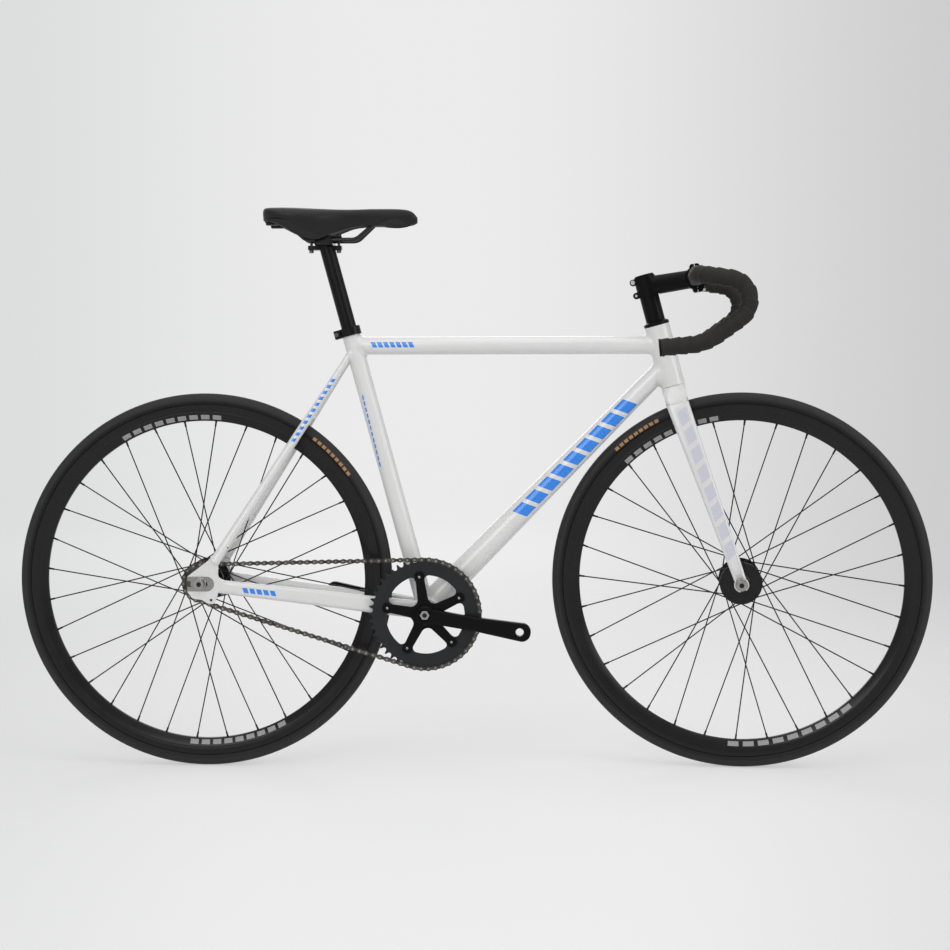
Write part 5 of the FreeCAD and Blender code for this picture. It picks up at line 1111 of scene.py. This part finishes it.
PITCH = 12.7
RING_TEETH = 48
COG_TEETH = 16
PLATE_RADIUS = 4.1
PLATE_WAIST = 2.1
ROLLER_RADIUS = 3.8
ROLLER_REACH = 1.8
BOLT_CIRCLE = 67.5 * MM
FRONT_AXLE_END = 62.5 * MM


def link_mesh(inner):
    """One chain link along local X between two pins: waisted plates, and rollers if it is an inner one."""
    far = arc_points((PITCH, 0.0), PLATE_RADIUS, -110.0, 110.0, 8)
    near = arc_points((0.0, 0.0), PLATE_RADIUS, 70.0, 290.0, 8)
    outline = far + [(PITCH / 2, PLATE_WAIST)] + near + [(PITCH / 2, -PLATE_WAIST)]
    low, high = (1.8, 2.9) if inner else (3.0, 4.1)
    shapes = [slab(outline, side * low, side * high) for side in (-1, 1)]
    for centre in (0.0, PITCH) if inner else ():
        ring = arc_points((centre, 0.0), ROLLER_RADIUS, 0.0, 315.0, 7)
        shapes.append(slab(ring, -ROLLER_REACH, ROLLER_REACH))
    return joined("link", shapes, 40.0)


def chain_pins():
    """The chain's pins round chainring and cog, as places in the chain's plane."""
    line = REAR_AXLE - BOTTOM_BRACKET
    line.y = 0
    ring_step = 2 * math.pi / RING_TEETH
    cog_step = 2 * math.pi / COG_TEETH
    ring_radius = PITCH * MM / (2 * math.sin(ring_step / 2))
    cog_radius = PITCH * MM / (2 * math.sin(cog_step / 2))
    to_cog = math.atan2(line.z, line.x)
    lean = math.asin((ring_radius - cog_radius) / line.length)
    ring_count = round((math.pi + 2 * lean) / ring_step) + 1
    cog_count = round((math.pi - 2 * lean) / cog_step) + 1
    ring_count += (ring_count + cog_count) % 2

    def on_circle(centre, radius, middle, count, step):
        hub = Vector((centre.x, CHAIN_LINE, centre.z))
        angles = [middle + (i - (count - 1) / 2) * step for i in range(count)]
        return [hub + Vector((math.cos(a), 0, math.sin(a))) * radius for a in angles]

    def between(start, end):
        count = round((end - start).length / (PITCH * MM))
        return [start.lerp(end, i / count) for i in range(1, count)]

    ring = on_circle(BOTTOM_BRACKET, ring_radius, to_cog + math.pi, ring_count, ring_step)
    cog = on_circle(REAR_AXLE, cog_radius, to_cog, cog_count, cog_step)
    return ring + between(ring[-1], cog[0]) + cog + between(cog[-1], ring[0])


def link_places(pins, first):
    """Matrices of every second link: local X from its first pin to the next."""
    places = []
    for index in range(first, len(pins), 2):
        ahead = (pins[(index + 1) % len(pins)] - pins[index]).normalized()
        matrix = Matrix((ahead, LEFT, ahead.cross(LEFT))).transposed().to_4x4()
        matrix.translation = pins[index]
        places.append(matrix)
    return places


class BICYCLE_OT_drive(bpy.types.Operator):
    """Builds the chain link by link and finishes cranks, chainring, cog and their bolts"""

    bl_idname = "bicycle.drive"
    bl_label = "Drive"

    def execute(self, context):
        black = tuple(context.scene.bicycle_paint.black)
        self.add_chain()
        crank_black = anodised("crank_black", tint(black, 0.6), 0.3, 0.08)
        ring_black = turned_alloy("ring_black", (0.0125, 0.0135, 0.0155), CRANK_FRAME, 0.3)
        silver = bright_metal("drive_silver", (0.42, 0.41, 0.4), 0.24, 0.4)
        cog_steel = oiled_steel("cog_steel", 0.3)
        smooth_nodes(ring_black, 0.35, "chainring")
        smooth_nodes(crank_black, 0.6, "right_crank", "left_crank")
        smooth_nodes(cog_steel, 0.3, "cog", "lockring")
        smooth_nodes(silver, 0.4, "crank_spindle", "crank_bolts", "rear_axle_bolts", "front_axle_bolts")
        smooth_nodes(crank_black, 0.3, "chainring_bolts")
        smooth_nodes(crank_black, 0.4, "bottom_bracket_cups")
        self.add_washers(silver)
        self.add_axle_plates(silver)
        self.add_sockets()
        self.add_ring_centres(silver)
        return {"FINISHED"}

    def add_chain(self):
        outer_steel = oiled_steel("outer_link_steel", 0.33)
        # The inner links' steel is a darker copy of the outer links' steel: painted shade where the inner plates
        # sit back between the outer ones.
        shaded_inner_steel = oiled_steel("inner_link_steel_painted_shade", 0.18)
        bright = oiled_steel("pin_steel", 1.1)
        pins = chain_pins()
        half = [(0.0, -4.7), (1.6, -4.7), (1.9, -4.3)]
        pin = turned("pin", both_sides(half), 8)
        places = [Matrix.Translation(place) for place in pins]
        add_copies("chain_pin_ends", places, pin, bright, "frame")
        for name, first, inner, steel in (
            ("chain_inner_links", 0, True, shaded_inner_steel),
            ("chain_outer_links", 1, False, outer_steel),
        ):
            link = link_mesh(inner)
            places = link_places(pins, first)
            add_copies(name + "_chain", places, link, steel, "frame", [name])

    def add_washers(self, silver):
        """Plain washers under the axle bolts' heads."""
        for name, matrix, face, radius, body in (
            ("rear_axle_washers", REAR_FRAME, 66.4, 12.0, "frame"),
            ("front_axle_washers", FRONT_FRAME, 56.9, 11.2, "fork"),
        ):
            profile = [(8.4, 0.0), (radius, 0.0), (radius, 1.3), (radius - 0.5, 1.8), (8.4, 1.8)]
            washer = turned("washer", profile, 48)
            add_copies(name, axle_pair(matrix, face * MM), washer, silver, body)

    def add_axle_plates(self, silver):
        """Keyed plates on the rear axle, behind the open ends of the track ends' slots."""
        outline = arc_points((0.0, 0.0), 10.5, -150.0, 150.0, 30) + [(-17.0, 4.6), (-17.0, -4.6)]
        plates = joined("plates", [slab(outline, side * 57.0, side * 59.9) for side in (-1, 1)])
        plates.transform(REAR_FRAME)
        add_piece("rear_axle_plates", plates, silver, "frame")

    def add_sockets(self):
        """Dark hexagon discs on the faces of the axle and crank bolts: painted shade where their hexagon sockets
        are.
        """
        dark = moulded("socket_painted_shade", (0.008, 0.008, 0.0085))
        socket = turned("socket", [(0.0, -0.5), (4.4, -0.5), (4.4, 0.06), (0.0, 0.06)], 6)
        crank_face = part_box("crank_bolts")[0][1]
        rear_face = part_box("rear_axle_bolts")[0][1]
        front_face = rear_face - (MOUNTS["right_rear_axle_end"]["pos_m"][1] + FRONT_AXLE_END)
        for name, matrix, face, body in (
            ("crank_sockets", CRANK_FRAME, crank_face, "crankset"),
            ("rear_axle_sockets", REAR_FRAME, rear_face, "frame"),
            ("front_axle_sockets", FRONT_FRAME, front_face, "fork"),
        ):
            add_copies(name, axle_pair(matrix, -face), socket, dark, body)

    def add_ring_centres(self, silver):
        """Bright centres in the chainring bolts."""
        dome = [(0.0, -0.5), (2.2, -0.5), (2.2, 0.1), (1.7, 0.3), (0.0, 0.3)]
        centre = turned("centre", dome, 12)
        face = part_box("chainring_bolts")[0][1]
        places = []
        for index in range(5):
            angle = math.radians(36 + 72 * index)
            spot = Vector((BOLT_CIRCLE * math.cos(angle), face, BOLT_CIRCLE * math.sin(angle)))
            places.append(pointing(CRANK_FRAME @ spot, -LEFT))
        add_copies("ring_bolt_centres", places, centre, silver, "crankset")


# Cockpit

TAPE_RADIUS = 15.5 * MM
TAPE_START = 75.0
TAPE_EDGE = 0.12
BAR_LEAN = math.radians(15.0)
STEM_DROP = math.radians(6.0)
STEM_LENGTH = 88.0
STEM_HEIGHT = 549.5


def bar_route(start):
    """The left half of the bar's centre line about the middle of its clamp, level and straight ahead."""
    points = [
        ((0, start, 0), 0),
        ((0, 205, 0), 45),
        ((84, 205, -13), 36),
        ((84, 205, -64), 38),
        ((12, 205, -115.5), 90),
        ((-60, 205, -122), 0),
    ]
    return [(Vector(point) * MM, radius * MM) for point, radius in points]


def steered(point, mirror):
    """A point of the level bar, carried into the turned fork."""
    level = Vector((point.x, point.y * mirror, point.z))
    reach = STEM_LENGTH * math.cos(STEM_DROP)
    centre = Vector((reach, 0, STEM_HEIGHT - STEM_LENGTH * math.sin(STEM_DROP))) * MM
    return FORK_FRAME @ (centre + Matrix.Rotation(BAR_LEAN, 3, "Y") @ level)


def tape_half(mirror):
    """One side's tape, wound so that each turn's edge lies on the turn before."""
    grip = bpy.context.scene.bicycle_grip

    def radius_at(distance, turn):
        phase = (distance / grip.pitch - mirror * turn / (2 * math.pi)) % 1.0
        edge = min(1.0, phase / TAPE_EDGE)
        drop = phase if phase > TAPE_EDGE else TAPE_EDGE * edge + (1 - edge)
        return TAPE_RADIUS - grip.step * drop

    path = rounded_path(bar_route(TAPE_START), 1.5 * MM)
    return swept("tape_half", [steered(point, mirror) for point in path], radius_at, 40, 60.0)


class BICYCLE_OT_cockpit(bpy.types.Operator):
    """Builds the taped handlebar and finishes the stem and headset"""

    bl_idname = "bicycle.cockpit"
    bl_label = "Handlebar and stem"

    def execute(self, context):
        black = tuple(context.scene.bicycle_paint.black)
        foam = wrap_tape("tape_foam")
        gloss = anodised("stem_black", tint(black, 0.7), 0.28, 0.08)
        silver = bright_metal("stem_bolt_silver", (0.55, 0.55, 0.56), 0.28)
        tape = joined("bar_wrap", [tape_half(mirror) for mirror in (1, -1)], 40.0)
        add_piece("bar_wrap", tape, foam, "fork", ["bar_tape"])
        smooth_nodes(gloss, 0.5, "stem", "stem_faceplate", "top_cap")
        smooth_nodes(gloss, 0.3, "headset_cover", "headset_spacers", "handlebar", "bar_end_plugs")
        smooth_nodes(silver, 0.3, "stem_bolts")
        smooth_nodes(silver, 0, "headset_bearings")
        return {"FINISHED"}


# Saddle

# Along the saddle: distance ahead of the clamp, half width, top and foot, in millimetres
SADDLE_STATIONS = (
    (-105.5, 36.0, 51.5, 32.0),
    (-100.5, 52.0, 55.3, 30.5),
    (-84.0, 63.0, 56.0, 27.5),
    (-48.0, 68.0, 55.8, 10.5),
    (-12.0, 57.0, 54.8, 3.0),
    (26.0, 36.0, 54.0, 13.0),
    (54.0, 27.0, 54.0, 22.0),
    (95.0, 22.0, 55.0, 25.0),
    (148.0, 18.0, 53.0, 25.5),
    (165.0, 10.0, 40.0, 31.0),
)
RAIL_RADIUS = 3.5 * MM
# A rail's corners about the clamp and the bend at each, in millimetres
RAIL_ROUTE = (((95, 9, 34), 0), ((57, 22, 0), 20), ((-32, 22, 0), 14), ((-66, 26, 30), 0))


def rail_centre():
    """The middle of the saddle clamp, level with the rails' centres."""
    low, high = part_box("lower_saddle_clamp")
    return Vector(((low[0] + high[0]) / 2, 0.0, high[2] + 0.6 * MM))


def through(values, share):
    """A smooth curve through equally spaced values, at a share of the way."""
    position = share * (len(values) - 1)
    index = min(int(position), len(values) - 2)
    t = position - index
    a = values[max(index - 1, 0)]
    b = values[index]
    c = values[index + 1]
    d = values[min(index + 2, len(values) - 1)]
    return tuple(
        0.5 * (2 * q + (r - p) * t + (2 * p - 5 * q + 4 * r - s) * t * t + (3 * q - p - 3 * r + s) * t**3)
        for p, q, r, s in zip(a, b, c, d)
    )


def saddle_mesh():
    """The padded cover: a crowned top that rolls over into drawn-in skirts, closed below."""
    centre = rail_centre()
    rows = 57
    rings = []
    for row in range(rows):
        x, half, top, foot = through(SADDLE_STATIONS, row / (rows - 1))
        height = top - foot
        side = [
            (0.0, foot + 0.2 * height),
            (half * 0.62, foot + 0.1 * height),
            (half * 0.8, foot),
            (half * 0.9, foot + 0.2 * height),
            (half * 0.985, foot + 0.5 * height),
            (half * 0.99, top - 0.32 * height),
            (half * 0.9, top - 0.13 * height),
            (half * 0.68, top - 0.035 * height),
            (half * 0.35, top - 0.008 * height),
            (0.0, top),
        ]
        ring = [through(side, i / 24) for i in range(25)]
        ring += [(-y, z) for y, z in reversed(ring[1:-1])]
        rings.append([centre + Vector((x, y, z)) * MM for y, z in ring])
    return loft("saddle_skin", rings, 60.0)


def rails_mesh():
    """Two wires, bent up at the front and the back into the cover."""
    centre = rail_centre()
    rails = []
    for side in (-1, 1):
        corners = [(centre + Vector((x, y * side, z)) * MM, bend * MM) for (x, y, z), bend in RAIL_ROUTE]
        rails.append(round_bar("rail", rounded_path(corners, 2.0 * MM), RAIL_RADIUS, 20))
    return joined("saddle_rails", rails, 50.0)


class BICYCLE_OT_saddle(bpy.types.Operator):
    """Builds the padded saddle and finishes its shell, rails, clamp and post"""

    bl_idname = "bicycle.saddle"
    bl_label = "Saddle and post"

    def execute(self, context):
        black = tuple(context.scene.bicycle_paint.black)
        skin = grained_leather("saddle_leather")
        cover = add_piece("saddle_skin", saddle_mesh(), skin, "seatpost", ["saddle_cover"])
        smooth = cover.modifiers.new("Smooth", "SUBSURF")
        smooth.levels = 1
        smooth.render_levels = 1
        smooth_nodes(moulded("shell_plastic", (0.014, 0.014, 0.0145)), 0.4, "saddle_shell")
        post = anodised("post_black", tint(black, 0.8), 0.26, 0.15)
        smooth_nodes(post, 0.5, "seatpost", "lower_saddle_clamp", "upper_saddle_clamp", "seat_clamp")
        rail = bright_metal("rail_black", (0.04, 0.04, 0.042), 0.3)
        add_piece("saddle_rails_finish", rails_mesh(), rail, "seatpost", ["saddle_rails"])
        dark = bright_metal("clamp_bolt_dark", (0.09, 0.09, 0.092), 0.3)
        smooth_nodes(dark, 0.3, "saddle_clamp_bolts", "seat_clamp_bolt")
        return {"FINISHED"}


# Stage

FLOOR_REACH = 40.0
BACKDROP_START = 7.0
BACKDROP_BEND = 2.5
BACKDROP_TOP = 14.0
WORLD_LEVEL = 0.45
WORLD_SEEN = 0.62
CAMERA_PLACE = Vector((0.1054, -3.0852, 0.6901))
CAMERA_LENS = 65.49
CAMERA_YAW, CAMERA_PITCH, CAMERA_ROLL = (math.radians(angle) for angle in (-1.85, 3.06, -0.12))


class BICYCLE_OT_stage(bpy.types.Operator):
    """Sets the floor, backdrop, lamps and camera"""

    bl_idname = "bicycle.stage"
    bl_label = "Stage"

    def execute(self, context):
        settings = context.scene.bicycle_stage
        self.add_backdrop(settings.floor)
        self.add_lamps(settings.lamp)
        self.add_camera(context.scene)
        context.scene.view_settings.view_transform = "Standard"
        return {"FINISHED"}

    def add_backdrop(self, level):
        """A pale floor that curves up into a backdrop; seen directly, it glows with painted shade that darkens
        towards its left and right.
        """
        curve = arc_points((BACKDROP_START, BACKDROP_BEND), BACKDROP_BEND, -90.0, 0.0, 24)
        outline = [(-FLOOR_REACH, 0.0), *curve, (BACKDROP_START + BACKDROP_BEND, BACKDROP_TOP)]
        verts = [Vector((x, y, z)) for x in (-FLOOR_REACH, FLOOR_REACH) for y, z in outline]
        count = len(outline)
        faces = [(i, i + 1, count + i + 1, count + i) for i in range(count - 1)]
        mesh = bpy.data.meshes.new("backdrop")
        mesh.from_pydata(verts, [], faces)
        mesh.shade_smooth()
        paper = Paint("backdrop_paper", Roughness=0.9)
        cloud = paper.noise(paper.place(), 0.8, 2.0)
        tone = (level, level * 1.003, level * 1.002)
        paper.finish(Base_Color=paper.blend(cloud, tint(tone, 0.99), tint(tone, 1.01)))
        x, y, _ = paper.parts(paper.place())
        # Painted shade: the emitted colour is lightest in the middle and darker towards the left and right of the
        # floor and backdrop, darkest at the right.
        side = x / (y + 3.0).math("MAXIMUM", 1.5)
        right = paper.blend(side.ramp(-0.03, 0.3), (0.87, 0.87, 0.87), (0.62, 0.62, 0.62))
        wall_with_painted_shade = paper.blend(side.ramp(-0.33, -0.08), (0.745, 0.76, 0.755), right)
        right = paper.blend(side.ramp(0.09, 0.38), (0.88, 0.88, 0.88), (0.68, 0.68, 0.68))
        near = paper.blend(side.ramp(-0.36, -0.09), (0.72, 0.73, 0.725), right)
        near = paper.blend(y.ramp(-2.6, -1.2), (0.8, 0.8, 0.8), near)
        glow_with_painted_shade = paper.blend(y.ramp(0.5, 3.2), near, wall_with_painted_shade)
        light = paper.node("ShaderNodeEmission", None, Color=glow_with_painted_shade)
        path = paper.tree.nodes.new("ShaderNodeLightPath")
        rays = ("Is Camera Ray", "Is Glossy Ray", "Is Transmission Ray")
        camera, glossy, passing = (Field(paper, path.outputs[ray]) for ray in rays)
        seen = (camera + glossy + passing) * (0.5 + y.ramp(0.8, 4.0) * 0.42)
        shown = paper.node("ShaderNodeMixShader", None, seen, Field(paper, paper.shader.outputs[0]), light)
        paper.fill(paper.tree.nodes["Material Output"].inputs["Surface"], shown)
        mesh.materials.append(paper.material)
        floor = add_object("backdrop", mesh)

    def add_lamps(self, power):
        """Large soft lamps above, in front, at one side and behind."""
        for name, place, aim, size, share in (
            ("lamp_above", (0.0, -0.6, 3.6), (0.0, 0.0, 0.3), 4.0, 1.0),
            ("lamp_front", (-1.6, -4.2, 2.4), (0.0, 0.0, 0.5), 2.6, 1.0),
            ("lamp_side", (3.4, -1.6, 2.0), (0.2, 0.0, 0.5), 2.2, 0.55),
            ("lamp_back", (-0.8, 4.4, 2.4), (0.0, 0.0, 0.5), 2.6, 0.6),
        ):
            lamp = bpy.data.lights.new(name, "AREA")
            lamp.shape = "SQUARE"
            lamp.size = size
            lamp.energy = power * share
            holder = add_object(name, lamp)
            holder.location = place
            holder.rotation_euler = (Vector(aim) - Vector(place)).to_track_quat("-Z", "Y").to_euler()
        world = bpy.data.worlds.new("studio")
        world.use_nodes = True
        tree = world.node_tree
        path = tree.nodes.new("ShaderNodeLightPath")
        level = grow_node(
            tree, "ShaderNodeMapRange", Value=path.outputs["Is Camera Ray"],
            To_Min=WORLD_LEVEL, To_Max=WORLD_SEEN,
        )
        background = tree.nodes["Background"]
        background.inputs["Color"].default_value = (1.0, 1.0, 1.0, 1.0)
        tree.links.new(level.outputs["Result"], background.inputs["Strength"])
        bpy.context.scene.world = world

    def add_camera(self, scene):
        """The photograph's viewpoint: a long lens on the drive side, a little above the axles."""
        level = math.cos(CAMERA_PITCH)
        ahead = Vector((math.sin(CAMERA_YAW) * level, math.cos(CAMERA_YAW) * level, -math.sin(CAMERA_PITCH)))
        right = Vector((math.cos(CAMERA_YAW), -math.sin(CAMERA_YAW), 0.0))
        top = right.cross(ahead)
        side = right * math.cos(CAMERA_ROLL) + top * math.sin(CAMERA_ROLL)
        top = top * math.cos(CAMERA_ROLL) - right * math.sin(CAMERA_ROLL)
        lens = bpy.data.cameras.new("camera")
        lens.sensor_width = 36.0
        lens.lens = CAMERA_LENS
        camera = add_object("camera", lens)
        matrix = Matrix((side, top, -ahead)).transposed().to_4x4()
        matrix.translation = CAMERA_PLACE
        camera.matrix_world = matrix
        scene.camera = camera


class BICYCLE_PT_panel(bpy.types.Panel):
    """The bicycle's groups in the sidebar"""

    bl_idname = "BICYCLE_PT_panel"
    bl_label = "Bicycle"
    bl_space_type = "VIEW_3D"
    bl_region_type = "UI"
    bl_category = "Bicycle"

    def draw(self, context):
        for operator in OPERATORS:
            self.layout.operator(operator.bl_idname)
        for label, group in SETTINGS.items():
            settings = getattr(context.scene, label)
            for name in group.__annotations__:
                self.layout.prop(settings, name)


OPERATORS = (
    BICYCLE_OT_frame,
    BICYCLE_OT_wheels,
    BICYCLE_OT_drive,
    BICYCLE_OT_cockpit,
    BICYCLE_OT_saddle,
    BICYCLE_OT_stage,
)
SETTINGS = {
    "bicycle_paint": BicyclePaint,
    "bicycle_wheels": BicycleWheels,
    "bicycle_grip": BicycleGrip,
    "bicycle_stage": BicycleStage,
}


def register():
    for group in SETTINGS.values():
        bpy.utils.register_class(group)
    for label, group in SETTINGS.items():
        setattr(bpy.types.Scene, label, bpy.props.PointerProperty(type=group))
    for operator in OPERATORS:
        bpy.utils.register_class(operator)
    bpy.utils.register_class(BICYCLE_PT_panel)


def unregister():
    bpy.utils.unregister_class(BICYCLE_PT_panel)
    for operator in reversed(OPERATORS):
        bpy.utils.unregister_class(operator)
    for label in SETTINGS:
        delattr(bpy.types.Scene, label)
    for group in reversed(list(SETTINGS.values())):
        bpy.utils.unregister_class(group)


def main():
    register()
    bpy.ops.bicycle.frame()
    bpy.ops.bicycle.wheels()
    bpy.ops.bicycle.drive()
    bpy.ops.bicycle.cockpit()
    bpy.ops.bicycle.saddle()
    bpy.ops.bicycle.stage()


if __name__ == "__main__":
    main()
